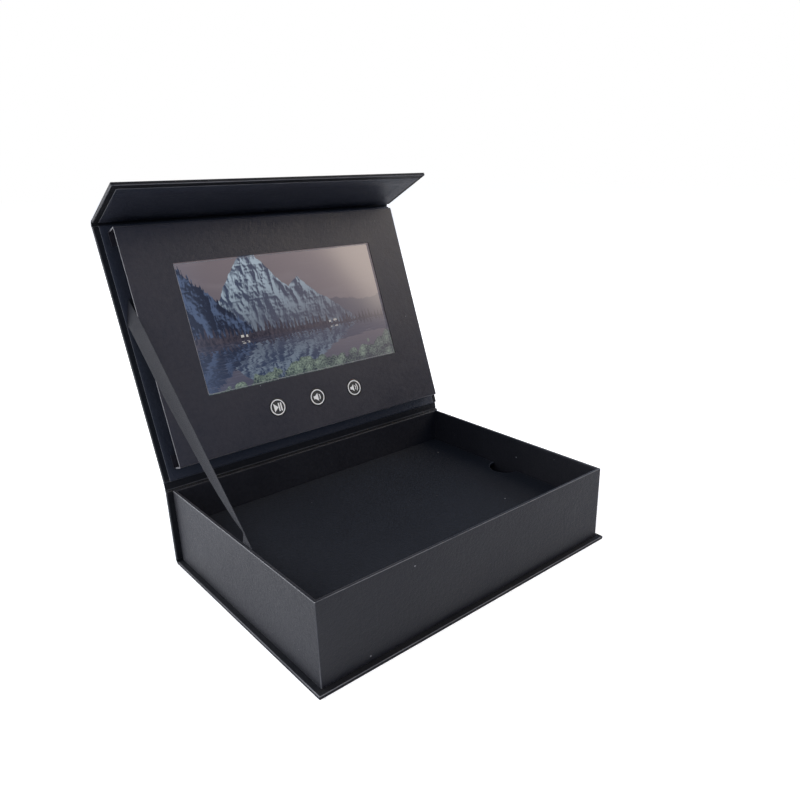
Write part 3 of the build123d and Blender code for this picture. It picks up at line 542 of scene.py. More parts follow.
up, inward = np.array([0, np.sin(LEAN), np.cos(LEAN)]), np.array([0, -np.cos(LEAN), np.sin(LEAN)])
LID = (np.array([0, 83.8, 54.9]), up, inward)
FLAP = (LID[0] + LID_LENGTH * up, up * np.cos(FOLD) + inward * np.sin(FOLD),
        inward * np.cos(FOLD) - up * np.sin(FOLD))
for panel, end, tip, body in ((LID, LID_END, False, "lid"), (FLAP, FLAP_TIP, True, "flap")):
    points, faces, wear_and_highlight = wrapped_board(panel, HALF_GAP, end, False, tip)
    wrap = piece(body + "_wrap_paper", points, faces, case_paper, wear_and_highlight=wear_and_highlight)
    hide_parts(body + "_wrap")
    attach(wrap, body)

# ---- Creases -------------------------------------------------------------------------------------
# Where two boards meet, wrap and liner are pasted to each other and pressed into the gap. They bend
# there as one strip of paper, which is the box's only hinge.
for name, panel, end, turned, next_panel, (first, second) in (
    ("hinge_crease", SPINE, SPINE_END, -LEAN, LID, ("tray", "lid")),
    ("flap_crease", LID, LID_END, FOLD, FLAP, ("lid", "flap")),
):
    points, faces, wear_and_highlight = crease_strip(panel, end, turned)
    strip = piece(name + "_paper", points, faces, case_paper, wear_and_highlight=wear_and_highlight)
    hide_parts(name)
    bend_start = laid(panel, 0, end, OUTER) / 1000
    bend_end = laid(next_panel, 0, HALF_GAP, OUTER) / 1000
    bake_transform(strip)

# ---- Liners of lid and flap ----------------------------------------------------------------------
# A thinner black paper pasted inside, short of the case's edges, so its pale cut edge shows as a
# fine line. It is pressed down over each board's end into the crease.
TIP_INSET = 4.3
LINED = 1.8  # level of the liner's face
CUT_SLOPE = 0.08  # how far the face drops to its cut edge
OVER_STEP = 0.9  # half the width of the slope where the liner comes down off a turn-in
liner_paper = black_paper("liner_paper", (0.013, 0.0145, 0.0215), (0.028, 0.031, 0.0425), 0.5,
                          speck_share=0.006)
cut_edge, tree, shader, place = material("cut_paper_edge")
clouds = pulp_in(tree, place, 1800.0, 120.0)["Clouds"]
tone = mixed(tree, clouds, (0.07, 0.073, 0.08), (0.20, 0.20, 0.21))
join(tree, shader, {"Base Color": tone, "Roughness": 0.8})


def eased(share):
    """The share's own smooth step: share squared x (3 - 2 share)."""
    share = np.clip(share, 0, 1)
    return share ** 2 * (3 - 2 * share)


def liner(name, panel, end, tip):
    """A liner as a grid of width by length, whose height drops over the board's ends in a quarter
    round. At a tip it is cut short instead, and sinks by a smooth step where the turn-ins stop.
    """
    r, fall = FOLD_ROUND, np.radians([90, 67, 45, 22, 0])
    near = HALF_GAP - 0.3 + np.concatenate([[0], r - r * np.sin(fall)])
    near_level = np.concatenate([[CREASED], LINED - r + r * np.cos(fall)])
    step_y, step_x = end - TURN_IN, CASE_HALF - TURN_IN
    if tip:
        middle = [8, 20, step_y - OVER_STEP, step_y - 0.3, step_y + 0.3, step_y + OVER_STEP]
        far, far_level = end - TIP_INSET - np.array([0.2, 0]), [LINED, LINED - CUT_SLOPE]
    else:
        middle = [30.0, 90.0, 140.0]
        far, far_level = (end + HALF_GAP - near)[::-1], near_level[::-1]
    along = np.concatenate([near, middle, far])
    level = np.concatenate([near_level, [LINED] * len(middle), far_level])
    half = np.array([LINER_HALF, LINER_HALF - 0.2, LINER_HALF - 2, step_x + OVER_STEP,
                     step_x + 0.3, step_x - 0.3, step_x - OVER_STEP, 40])
    x = np.concatenate([-half, [0], half[::-1]])
    sunk = eased((step_x + OVER_STEP - np.abs(x)) / (2 * OVER_STEP)) * tip
    sunk_along = eased(np.clip((step_y + OVER_STEP - along) / (2 * OVER_STEP), 0, 1)
                       * np.clip((along - HALF_GAP - 2) / 2, 0, 1))
    drop = 0.12 * sunk * sunk_along[:, None]
    over = level[:, None] - drop - CUT_SLOPE * (np.abs(x) > LINER_HALF - 0.01)
    at_near, at_far = along < HALF_GAP + r, (along > end - r) & (not tip)
    under = level[:, None] - drop - PAPER
    pressed = (at_near | at_far)[:, None]
    under = np.where(pressed, np.maximum(over - PAPER, CREASED), under)
    points = np.concatenate([
        laid(panel, x, along[:, None], over).reshape(-1, 3),
        laid(panel, x, (along + PAPER * at_near - PAPER * at_far)[:, None], under).reshape(-1, 3),
    ])
    faces, kind = sheet_faces(len(along), len(x))
    row, column = np.divmod(np.arange((len(along) - 1) * (len(x) - 1)), len(x) - 1)
    sloped = (column == 0) | (column == len(x) - 2) | ((row == len(along) - 2) & tip)
    cut = (kind == 2) | ((kind == 1) & tip)
    cut[:len(sloped)] = sloped
    return piece(name, points, faces, liner_paper, cut_edge, finish_of_face=cut)


lid_liner = liner("lid_liner_paper", LID, LID_END, False)
flap_liner = liner("flap_liner_paper", FLAP, FLAP_TIP, True)
for lining, body in ((lid_liner, "lid"), (flap_liner, "flap")):
    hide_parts(body + "_liner")
    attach(lining, body)

# ---- Screen's sleeve -----------------------------------------------------------------------------
# Black card cut with a window and three button holes, folded into a shallow box and glued to the
# lid by flanges. Its left end is left open, where the card's pale core shows.
PANEL_HALF = 107.0
PANEL_LOW, PANEL_HIGH = 9.5, 160.5
FACE = 13.8
CARD = 1.0
FLANGE = 9.0
WINDOW_HALF = 77.0
WINDOW_LOW, WINDOW_HIGH = 49.1, 135.1
BUTTON_UP, BUTTON_PITCH, BUTTON_HOLE = 31.0, 32.0, 6.5
SLEEVE_ROUND = 0.9
CORE_SHOWS = 6.0  # the raw edge is scuffed pale above this level
CELLS = 24  # mesh cells across the square of face round each button

# The face is a grid. Round each button its cells are drawn in: place = (1 - share) x a point of the
# hole's circle + share x a point of the square, the share growing from the hole to the square.
r, half_cell = SLEEVE_ROUND, BUTTON_PITCH / 2
columns = np.concatenate([
    [-PANEL_HALF, -92, -WINDOW_HALF, -62],
    np.linspace(-3 * half_cell, 3 * half_cell, 3 * CELLS + 1),
    [62, WINDOW_HALF, 92, PANEL_HALF - r - 0.5, PANEL_HALF - r],
])
rows = np.concatenate([
    [PANEL_LOW + r, PANEL_LOW + r + 0.5], BUTTON_UP + np.linspace(-half_cell, half_cell, CELLS + 1),
    [WINDOW_LOW, 70, 92, 114, WINDOW_HIGH, 148, PANEL_HIGH - r - 0.5, PANEL_HIGH - r],
])


def to_button(x, y):
    """The steps across and up to a place from the middle of the nearest button."""
    return x - np.clip(np.round(x / BUTTON_PITCH), -1, 1) * BUTTON_PITCH, y - BUTTON_UP


x, along = np.meshgrid(columns, rows)
across, high = to_button(x, along)
reach, length = np.maximum(np.abs(across), np.abs(high)), np.hypot(across, high) + 1e-9
inside = (reach < 0.999 * half_cell) & (reach > 0)
share = np.clip((reach / half_cell - 1 / 3) / (2 / 3), 0, 1)
drawn_in = (1 - share) * BUTTON_HOLE / length + share * half_cell / np.maximum(reach, 1e-9) - 1
x, along = x + across * drawn_in * inside, along + high * drawn_in * inside
face = laid(LID, x, along, FACE)
mid_x, mid_y = np.meshgrid((columns[1:] + columns[:-1]) / 2, (rows[1:] + rows[:-1]) / 2)
in_hole = np.maximum(*np.abs(to_button(mid_x, mid_y))) < half_cell / 3
in_window = (np.abs(mid_x) < WINDOW_HALF) & (mid_y > WINDOW_LOW) & (mid_y < WINDOW_HIGH)
i, j = np.nonzero(~(in_hole | in_window))
corner = i * len(columns) + j
above = corner + len(columns)
faces = np.stack([corner, corner + 1, above + 1, above], -1).tolist()

# The folded sides: from the face's lower left corner round the right end to the upper left corner,
# each point moves out and down by a quarter round, down the wall, round again and in as a flange.
# A row of the path is x, y, and the way out.
quarter = np.radians(np.linspace(-90, 0, 7))[1:-1]
path = np.concatenate([np.stack(np.broadcast_arrays(*line), -1) for line in (
    (columns, rows[0], 0, -1),
    (columns[-1], rows[0], np.cos(quarter), np.sin(quarter)),
    (columns[-1], rows, 1, 0),
    (columns[-1], rows[-1], np.cos(quarter + np.pi / 2), np.sin(quarter + np.pi / 2)),
    (columns[::-1], rows[-1], 0, 1),
)])
turn = QUARTER[1:]
glued = LINED + 0.02
out = np.concatenate([[0], r * np.sin(turn), [r, r], r * np.cos(turn), [r - FLANGE]])
level = np.concatenate([[FACE], FACE - r + r * np.cos(turn), [CORE_SHOWS, glued + r],
                        glued + r - r * np.sin(turn), [glued]])[:, None]
folds = laid(LID, *(path[:, i] + out[:, None] * path[:, i + 2] for i in (0, 1)), level)
round_corner = np.isin(np.arange(len(path)), len(columns) + np.arange(len(quarter)))
round_corner |= round_corner[::-1]
ring, k = np.meshgrid(np.arange(len(out) - 1), np.arange(len(path) - 1), indexing="ij")
open_corner = (ring > 6) & (round_corner[k] | round_corner[k + 1])  # the flanges are cut there
here, below = ring * len(path) + k, (ring + 1) * len(path) + k
quads = np.stack([below, below + 1, here + 1, here], -1)
faces += (quads[~open_corner] + face.size // 3).tolist()
# The fold from face to wall is lightened: partly rubbed wear, partly a painted highlight.
rub_and_highlight = 0.55 * np.concatenate([[0], np.sin(2 * turn), 0 * out[5:]])
wear_and_highlight = np.concatenate([np.zeros(face.size // 3), np.repeat(rub_and_highlight, len(path))])

sleeve_card = black_paper("sleeve_card", (0.0125, 0.0116, 0.0155), (0.027, 0.0245, 0.0315), 0.40,
                          tooth_scale=1300.0, speck_share=0.004, depth=0.00008)
card_core, tree, shader, place = material("card_core")
fibres = pulp_in(tree, place, 2500.0, 90.0)["Fibres"]
tone = mixed(tree, fibres, (0.06, 0.06, 0.068), (0.17, 0.17, 0.18))
join(tree, shader, {"Base Color": tone, "Roughness": 0.85})
points = np.concatenate([face.reshape(-1, 3), folds.reshape(-1, 3)])
sleeve = piece("panel_sleeve_card", points, faces, sleeve_card, card_core, wear_and_highlight=wear_and_highlight)
weld = sleeve.modifiers.new("weld", "WELD")
weld.merge_threshold = 0.00001
card = sleeve.modifiers.new("card", "SOLIDIFY")
card.thickness, card.offset, card.use_even_offset = CARD / 1000, -1.0, True
card.material_offset_rim = 1
graph = bpy.context.evaluated_depsgraph_get()
shape = bpy.data.meshes.new_from_object(sleeve.evaluated_get(graph))
sleeve.modifiers.clear()
sleeve.data = shape
shape.set_sharp_from_angle(angle=SHARP)
centres, finish = np.zeros(3 * len(shape.polygons)), np.zeros(len(shape.polygons), np.int32)
shape.polygons.foreach_get("center", centres)
shape.polygons.foreach_get("material_index", finish)
centres = centres.reshape(-1, 3) * 1000
at_left_end = centres[:, 0] < 0.01 - PANEL_HALF
pale = at_left_end & ((centres - LID[0]) @ LID[2] > CORE_SHOWS)
shape.polygons.foreach_set("material_index", finish * pale)
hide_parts("panel_sleeve")
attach(sleeve, "lid")

# ---- Screen module -------------------------------------------------------------------------------
# A sheet-steel frame holds backlight and glass, and foam presses it to the sleeve from behind. The
# still on the screen is a made-up dusk landscape. A film is stuck on it just inside the window.
screen_steel, tree, shader, place = material("screen_steel")
brushed = node(tree, "Mapping", {"Vector": place, "Scale": (1.0, 30.0, 30.0)})["Vector"]
join(tree, shader, {
    "Base Color": (0.46, 0.47, 0.48), "Metallic": 1.0,
    "Roughness": ranged(tree, noise(tree, brushed, 120.0, 3.0), 0, 1, 0.28, 0.5),
})
finish_nodes(screen_steel, "lcd_bezel", "charging_socket", "keeper_plates")

TILT = np.radians(70)  # from the box's axes to the lid's: x stays, y runs up the lid, z off it


def grain(tree, spot, scale, detail=4.0, stretch=(1.0, 1.0, 1.0), shift=(0.0, 0.0, 0.0)):
    """Noise over the screen, about 0 on average. The scale is in features for each millimetre."""
    moved = node(tree, "Mapping", {"Vector": spot, "Scale": stretch, "Location": shift})["Vector"]
    return added(tree, noise(tree, moved, scale, detail, 0.6), 1.0, -0.5)


def slopes(tree, spot, scale, shift=(0.0, 0.0)):
    """Slopes lit from one side: ridged noise less the same noise a little up and across."""
    heights = []
    for aside in (0.0, 1.0):
        start = (shift[0] + 0.9 * aside, shift[1] + 0.6 * aside, 0.0)
        moved = {"Vector": spot, "Scale": (1.0, 0.6, 1.0), "Location": start}
        ridges = {"Scale": scale, "Detail": 8.0, "Roughness": 0.55, "Offset": 1.0, "Gain": 1.5}
        ridges["Vector"] = node(tree, "Mapping", moved)["Vector"]
        made = node(tree, "TexNoise", ridges, noise_type="RIDGED_MULTIFRACTAL")
        heights.append(made["Fac"])
    return added(tree, heights[1], -1.0, heights[0])


def conifers(tree, spot, foot, spacing, tall, seed):
    """How far a place is inside a row of firs, in millimetres; each stands in a cell of its own.

    Inside = fir's top above the place x 0.2 - distance across from its stem, with ragged twigs.
    """
    across, high, _ = node(tree, "SeparateXYZ", {"Vector": spot})
    cell = maths(tree, "FLOOR", maths(tree, "MULTIPLY", across, 1 / spacing))
    seeded = {"W": added(tree, cell, 1.0, seed)}
    chance = node(tree, "TexWhiteNoise", seeded, noise_dimensions="1D")["Value"]
    stem = added(tree, cell, spacing, added(tree, chance, 0.4 * spacing, 0.3 * spacing))
    aside = maths(tree, "ABSOLUTE", maths(tree, "SUBTRACT", across, stem))
    top = added(tree, chance, 0.6 * tall, added(tree, foot, 1.0, 0.4 * tall))
    above = added(tree, high, -1.0, top)
    ragged = grain(tree, spot, 0.9, 3.0, (1.0, 0.5, 1.0), (seed, 0.0, 0.0))
    twigs = added(tree, ragged, 1.6, added(tree, above, 0.2, 0.0))
    return maths(tree, "MAXIMUM", added(tree, aside, -1.0, twigs), added(tree, high, -1.0, foot))


def fell(tree, across, summit_x, summit, slope):
    """A hill's outline: summit - slope x distance from it."""
    away = maths(tree, "ABSOLUTE", maths(tree, "SUBTRACT", across, summit_x))
    return added(tree, away, -slope, summit)


# What stands over the water, as a colour for each place, so that the water can mirror it. Each
# layer covers the ones before it where its outline is above the place. Millimetres up the lid.
SHORE = 80.0
land, taken, end_of_land = effect(
    "land_and_sky", [("Place", "Vector", None)], [("Colour", "Color")])
spot = taken["Place"]
across, high, _ = node(land, "SeparateXYZ", {"Vector": spot})
# Sky: a glow low at the right, and long streaks of cloud.
glow = added(land, across, 0.8, added(land, high, 1.4, 0.0))
colour = mixed(land, ranged(land, glow, 50, 230), (0.100, 0.088, 0.108), (0.235, 0.188, 0.190))
streaks = grain(land, spot, 0.05, 5.0, (0.3, 1.6, 1.0))
colour = mixed(land, ranged(land, streaks, 0.02, 0.25, 0, 0.35), colour, (0.27, 0.235, 0.25))
# Far hills.
rough = grain(land, spot, 0.035, 6.0, shift=(4.0, 0.0, 0.0))
outline = added(land, rough, 16.0, added(land, high, -1.0, 97.0))
colour = mixed(land, ranged(land, outline, -0.3, 0.5), colour, (0.088, 0.080, 0.104))
# The mountain, its snow in blue shade and paler light, with bare rock toward its foot.
peak = maths(land, "MAXIMUM", fell(land, across, -26.0, 143.0, 1.25),
             fell(land, across, 9.0, 117.0, 0.85))
outline = added(land, grain(land, spot, 0.07, 6.0), 13.0, added(land, high, -1.0, peak))
light = ranged(land, slopes(land, spot, 0.045), -0.12, 0.16)
snow = mixed(land, light, (0.028, 0.046, 0.090), (0.40, 0.50, 0.58))
snow = mixed(land, ranged(land, high, 122, 90, 0, 0.75), snow, (0.062, 0.066, 0.095))
colour = mixed(land, ranged(land, outline, -0.25, 0.35), colour, snow)
# The near slope at the left, with small firs along its top.
rough = grain(land, spot, 0.09, 4.0, shift=(2.0, 6.0, 0.0))
outline = added(land, rough, 9.0, fell(land, across, -88.0, 143.0, 1.05))
light = ranged(land, slopes(land, spot, 0.06, (9.0, 3.0)), -0.08, 0.25)
slope = mixed(land, light, (0.010, 0.013, 0.028), (0.070, 0.100, 0.175))
firs = conifers(land, spot, outline, 2.3, 4.5, 3.0)
colour = mixed(land, ranged(land, firs, -0.15, 0.25), colour, slope)
# Woods along the shore.
rough = grain(land, spot, 0.05, 3.0, (1.0, 0.2, 1.0))
outline = added(land, rough, 10.0, added(land, across, -0.03, SHORE + 2.5))
light = ranged(land, grain(land, spot, 0.5, 4.0, (1.0, 0.5, 1.0)), -0.12, 0.15)
woods = mixed(land, light, (0.020, 0.017, 0.026), (0.066, 0.054, 0.066))
firs = conifers(land, spot, outline, 2.9, 8.0, 11.0)
colour = mixed(land, ranged(land, firs, -0.2, 0.25), colour, woods)
# Lit cabins: place across, height over the shore, half width and half height.
for cabin_x, cabin_up, wide, tall in (
    (-43.0, 2.6, 1.1, 0.8), (-39.6, 2.4, 0.7, 0.8), (27.0, 2.2, 0.9, 0.7), (31.5, 2.6, 1.4, 0.7),
):
    within = maths(land, "MULTIPLY", maths(land, "COMPARE", across, cabin_x, wide),
                   maths(land, "COMPARE", high, SHORE + cabin_up, tall))
    colour = mixed(land, within, colour, (0.52, 0.50, 0.47))
join(land, end_of_land, {"Colour": colour})

picture, tree, shader, place = material("screen_picture")
lidwise = node(tree, "Mapping", {
    "Vector": place, "Rotation": (-TILT, 0, 0),
    "Location": (0, -float(LID[0] @ LID[1]) / 1000, -float(LID[0] @ LID[2]) / 1000),
})["Vector"]
in_mm = {0: lidwise, 1: (1000.0, 1000.0, 0.0)}
spot = node(tree, "VectorMath", in_mm, operation="MULTIPLY")[0]
across, high, _ = node(tree, "SeparateXYZ", {"Vector": spot})
still = node(tree, "Group", {"Place": spot}, node_tree=land)["Colour"]
# The lake mirrors it, stretched down and broken by level ripples, and turns bluer toward the bank.
ripples = grain(tree, spot, 0.5, 4.0, (0.16, 1.7, 1.0), (1.0, 2.0, 0.0))
mirrored = node(tree, "CombineXYZ", {
    "X": added(tree, ripples, 7.0, across),
    "Y": added(tree, high, -1.5, added(tree, ripples, 9.0, 2.5 * SHORE)),
})[0]
lake = node(tree, "Group", {"Place": mirrored}, node_tree=land)["Colour"]
lake = mixed(tree, ranged(tree, high, 88, 52, 0, 0.7), lake, (0.030, 0.042, 0.082))
lake = mixed(tree, ranged(tree, ripples, 0.05, 0.24, 0, 0.4), lake, (0.15, 0.16, 0.21))
still = mixed(tree, ranged(tree, high, SHORE + 0.2, SHORE - 0.2), still, lake)
# Bushes on the near bank in rounded clumps, pale green where they catch the light.
round_spots = {"Vector": spot, "Scale": 0.17, "Randomness": 1.0}
leafy = node(tree, "TexVoronoi", round_spots, feature="SMOOTH_F1")["Distance"]
clumps = added(tree, leafy, -1.0, 0.75)
bank = added(tree, grain(tree, spot, 0.5, 4.0), 4.0, added(tree, across, 0.09, 53.5))
bank = added(tree, high, -1.0, added(tree, clumps, 13.0, bank))
outline = added(tree, grain(tree, spot, 0.022, 2.0, shift=(11.0, 3.0, 0.0)), 30.0, bank)
leaves = added(tree, clumps, 0.9, added(tree, grain(tree, spot, 0.12, 3.0), 0.7, 0.0))
leaves = ranged(tree, added(tree, grain(tree, spot, 0.8, 5.0), 1.7, leaves), 0.05, 0.8)
bushes = mixed(tree, leaves, (0.026, 0.036, 0.045), (0.25, 0.32, 0.25))
still = mixed(tree, ranged(tree, outline, -0.4, 0.5), still, bushes)
# The backlight is a little uneven, and a painted reflection on the glass, a mauve grey, lifts the
# right of the picture.
painted_reflection = ranged(tree, added(tree, across, 1.3, high), 40, 200, 0, 0.5)
still = mixed(tree, painted_reflection, still, (0.23, 0.195, 0.205))
backlight = ranged(tree, grain(tree, spot, 0.02, 2.0), -0.2, 0.2)
backlight = mixed(tree, backlight, (0.90, 0.90, 0.92), (1.0, 1.0, 1.0))
product = {"Factor": 1.0, "A": still, "B": backlight}
still = node(tree, "Mix", product, data_type="RGBA", blend_type="MULTIPLY")["Result"]
flecks = node(tree, "Group", {"Place": place}, node_tree=tooth)["Specks"]
join(tree, shader, {
    "Base Color": mixed(tree, flecks, (0.004, 0.004, 0.006), (0.30, 0.30, 0.31)),
    "Emission Color": still, "Emission Strength": 0.9, "Roughness": 0.12,
})
finish_nodes(picture, "lcd_glass")

FILM_IN, FILM_WIDTH = 0.5, 0.35
FILM_LOW, FILM_HIGH = 12.2, 12.32
film, tree, shader, place = material("film_edge")
tone = mixed(tree, noise(tree, place, 90.0, 3.0), (0.05, 0.052, 0.058), (0.42, 0.42, 0.44))
join(tree, shader, {"Base Color": tone, "Roughness": 0.3})
inset = np.array([0.0, 0.0, FILM_WIDTH, FILM_WIDTH]) + FILM_IN
level = np.array([FILM_LOW, FILM_HIGH, FILM_HIGH, FILM_LOW])[:, None]
x, along = outlines(WINDOW_HALF - inset, WINDOW_LOW + inset, WINDOW_HIGH - inset, 1.2, 0.6)
film_edge = piece("screen_film_edge", laid(LID, x, along, level),
                  ring_faces(*x.shape, closed=True), film)
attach(film_edge, "lid")

# ---- Buttons -------------------------------------------------------------------------------------
# Discs of the same card, blacked and printed with a white ring and a sign. Each rests on its
# switch in a hole of the sleeve, flush with the face.
BUTTON_RADIUS = 6.2
DISC_POINTS = 72
RING_OUT, RING_IN = 5.45, 4.75
INK = 0.03


def toothed(name, tooth_scale, dark, light, roughness):
    """A material whose colour drifts with the paper's grain. Also its tree, shader and grain."""
    made, tree, shader, place = material(name)
    inputs = {"Place": place, "Tooth": tooth_scale, "Speck Share": 0.0}
    fine = node(tree, "Group", inputs, node_tree=tooth)["Grain"]
    join(tree, shader, {"Base Color": mixed(tree, fine, dark, light), "Roughness": roughness})
    return made, tree, shader, fine


button_black, tree, shader, fine = toothed(
    "button_black", 2200.0, (0.004, 0.004, 0.004), (0.011, 0.011, 0.010), 0.5)
join(tree, shader, {"Normal": bumped(tree, fine, 0.3, 0.00008)})
white_ink = toothed("white_ink", 2600.0, (0.62, 0.62, 0.60), (0.86, 0.86, 0.84), 0.55)[0]


def disc(centre_x):
    """A button: its profile turned round the middle of its hole, by radius x (cosine, sine)."""
    radius = np.array([3.0, 6.0, 6.12, BUTTON_RADIUS, BUTTON_RADIUS, 6.17, 6.1, 5.95, 3.0])
    level = np.array([12.8, 12.8, 12.83, 12.9, 13.65, 13.74, 13.79, FACE, FACE])
    angle = np.linspace(0, 2 * np.pi, DISC_POINTS, endpoint=False)
    x = centre_x + radius[:, None] * np.cos(angle)
    along = BUTTON_UP + radius[:, None] * np.sin(angle)
    faces = ring_faces(len(radius), DISC_POINTS)
    faces += cap(0, DISC_POINTS, True) + cap(len(radius) - 1, DISC_POINTS)
    return laid(LID, x, along, level[:, None]), faces


def inked(shapes, centre_x):
    """Thin prints: each shape is two edge lines of equal length, (across, up) in millimetres."""
    points, faces, start = [], [], 0
    for both in map(np.array, shapes):
        for height in (FACE + INK, FACE - 0.02):
            print_x, print_y = centre_x + both[..., 0], BUTTON_UP + both[..., 1]
            points.append(laid(LID, print_x, print_y, height).reshape(-1, 3))
        faces += sheet_faces(2, both.shape[1], start)[0]
        start += 4 * both.shape[1]
    return np.concatenate(points), faces


def arc(radius, low, high, centre_x=0.0, steps=49):
    """Part of a circle, from low to high degrees: centre + radius x (cosine, sine)."""
    angle = np.radians(np.linspace(low, high, steps))
    return np.stack([centre_x + radius * np.cos(angle), radius * np.sin(angle)], axis=-1)


def symmetric(line):
    """A shape of the line and its reflection above."""
    return np.array(line) * (1, 1), np.array(line) * (1, -1)


def wave(outer, inner, spread, centre_x):
    """A sound wave: the band between two arcs."""
    return arc(outer, -spread, spread, centre_x), arc(inner, -spread, spread, centre_x)


ring = (arc(RING_OUT, 0, -360), arc(RING_IN, 0, -360))
play = [symmetric([(-2.9, -2.9), (0.3, -0.05)]), symmetric([(0.45, -2.85), (1.45, -2.85)]),
        symmetric([(2.1, -2.85), (3.1, -2.85)])]
quiet = [symmetric([(-3.1, -1.05), (-1.8, -1.05), (0.5, -2.8)]), wave(3.05, 2.35, 40, -0.6)]
loud = [symmetric([(-3.4, -0.95), (-2.2, -0.95), (-0.4, -2.55)]),
        wave(2.45, 1.9, 42, -0.9), wave(3.9, 3.3, 42, -0.9)]
for name, centre_x, sign, body in (
    ("play", -BUTTON_PITCH, play, "play_button"),
    ("volume_down", 0.0, quiet, "volume_down_button"),
    ("volume_up", BUTTON_PITCH, loud, "volume_up_button"),
):
    button = piece("button_" + name + "_disc", *disc(centre_x), button_black)
    ink = piece("button_" + name + "_print", *inked([ring] + sign, centre_x), white_ink)
    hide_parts("button_" + name)
    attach(button, body)
    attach(ink, body)

# ---- Electronics and magnets ---------------------------------------------------------------------
# Bought-in parts, stuck to the lid with foam tape or glued into the boards: circuit boards with
# chips, a pouch cell, a speaker, a reed switch, leads and magnets.


def bought(name, low, high, roughness, scale, bump_depth=0.0001, metallic=0.0):
    """A finish whose colour, roughness and bump follow one fine noise between two values."""
    made, tree, shader, place = material(name)
    fine = noise(tree, place, scale, 4.0)
    join(tree, shader, {
        "Base Color": mixed(tree, fine, low, high), "Metallic": metallic,
        "Roughness": ranged(tree, fine, 0, 1, roughness - 0.08, roughness + 0.08),
        "Normal": bumped(tree, fine, 0.4, bump_depth),
    })
    return made


solder_mask, tree, shader, place = material("solder_mask")
lidwise = node(tree, "Mapping", {"Vector": place, "Rotation": (-TILT, 0, 0)})["Vector"]
tracks = node(tree, "TexBrick", {
    "Vector": lidwise, "Scale": 160.0, "Mortar Size": 0.03, "Brick Width": 0.9, "Row Height": 0.3,
    "Color1": (0.010, 0.05, 0.028), "Color2": (0.008, 0.042, 0.022), "Mortar": (0.05, 0.12, 0.06),
})["Color"]
join(tree, shader, {"Base Color": tracks, "Roughness": 0.35})
finish_nodes(solder_mask, "main_board", "button_board")
DEEP = 0.0004  # depth of the bump on foam and crinkled foil
for made, nodes in (
    (bought("chip_black", (0.012, 0.012, 0.013), (0.035, 0.035, 0.037), 0.5, 900.0),
     ("board_components", "socket_tongue", "reed_switch", "tact_switches")),
    (bought("foam", (0.015, 0.015, 0.016), (0.055, 0.055, 0.057), 0.9, 2200.0, DEEP),
     ("spine_tape", "window_gasket", "lcd_pads", "board_tape", "button_foam")),
    (bought("backlight_white", (0.70, 0.70, 0.69), (0.84, 0.84, 0.83), 0.5, 300.0),
     ("lcd_backlight",)),
    (bought("flex_amber", (0.30, 0.13, 0.025), (0.42, 0.20, 0.05), 0.35, 400.0), ("lcd_flex",)),
    (bought("pouch_foil", (0.50, 0.51, 0.52), (0.66, 0.67, 0.68), 0.4, 140.0, DEEP, 1.0),
     ("battery",)),
    (bought("speaker_metal", (0.10, 0.10, 0.105), (0.22, 0.22, 0.23), 0.45, 700.0, metallic=1.0),
     ("speaker",)),
    (bought("nickel", (0.52, 0.51, 0.49), (0.66, 0.65, 0.62), 0.3, 600.0, metallic=1.0),
     ("trigger_magnet", "flap_magnets")),
    (bought("red_insulation", (0.30, 0.012, 0.010), (0.42, 0.02, 0.016), 0.4, 800.0),
     ("battery_leads", "speaker_leads")),
    (bought("black_insulation", (0.012, 0.012, 0.012), (0.03, 0.03, 0.03), 0.4, 800.0),
     ("button_leads", "reed_leads")),
):
    finish_nodes(made, *nodes)

# ---- Ribbon stay ---------------------------------------------------------------------------------
# Grey grosgrain, 10 mm wide, that keeps the lid from falling back. It is glued inside the sleeve,
# folded over on itself at its open end, and glued down the tray's left wall.
RIBBON_WIDTH, RIBBON_THICK = 10.0, 0.3
SELVEDGE = 0.09  # half the thickness at the rounded edges
HOLLOW = 0.35
FOLD_EDGES = np.stack([laid(LID, -111.2, 101.6, LINED), laid(LID, -105.9, 118.0, LINED)])
TAIL = laid(LID, 18.8, 11.5, 0) - LID[0]  # the way and length from the fold to the glued end
TAIL_ABOVE = 0.15  # middle of the tail over the liner
FOLD_RADIUS, FOLD_MIDDLE = 0.17, 0.32
OVER_CARD = laid(LID, -PANEL_HALF, 104.5, 14.1)  # the right edge's place on the sleeve's raw edge
PINCH = np.array([-109.0, -7.5, 61.5])  # where the web stands on edge, just above the wall
WALL_X, WALL_Y, WALL_FACE = -109.35, np.array([-7.5, -17.5]), -TRAY_X + 0.1
GLUED_DOWN = 14.5
ACROSS = 11  # points across the web


def rows_between(first, last, shares):
    """Rows of the two edges, (rows, 2, 3): first + share x (last - first)."""
    return first[None] + np.asarray(shares)[:, None, None] * (last - first)[None]


# The fold is half a circle across the line between the fold's two edges, away from the tail.
fold_way = (FOLD_EDGES[1] - FOLD_EDGES[0]) / np.linalg.norm(FOLD_EDGES[1] - FOLD_EDGES[0])
away = fold_way * (TAIL @ fold_way) - TAIL
away /= np.linalg.norm(away)
bend = np.radians([-90, -50, 0, 50, 90])[:, None, None]
fold_rows = FOLD_EDGES + (FOLD_MIDDLE + FOLD_RADIUS * np.sin(bend)) * LID[2]
fold_rows = fold_rows + FOLD_RADIUS * np.cos(bend) * away

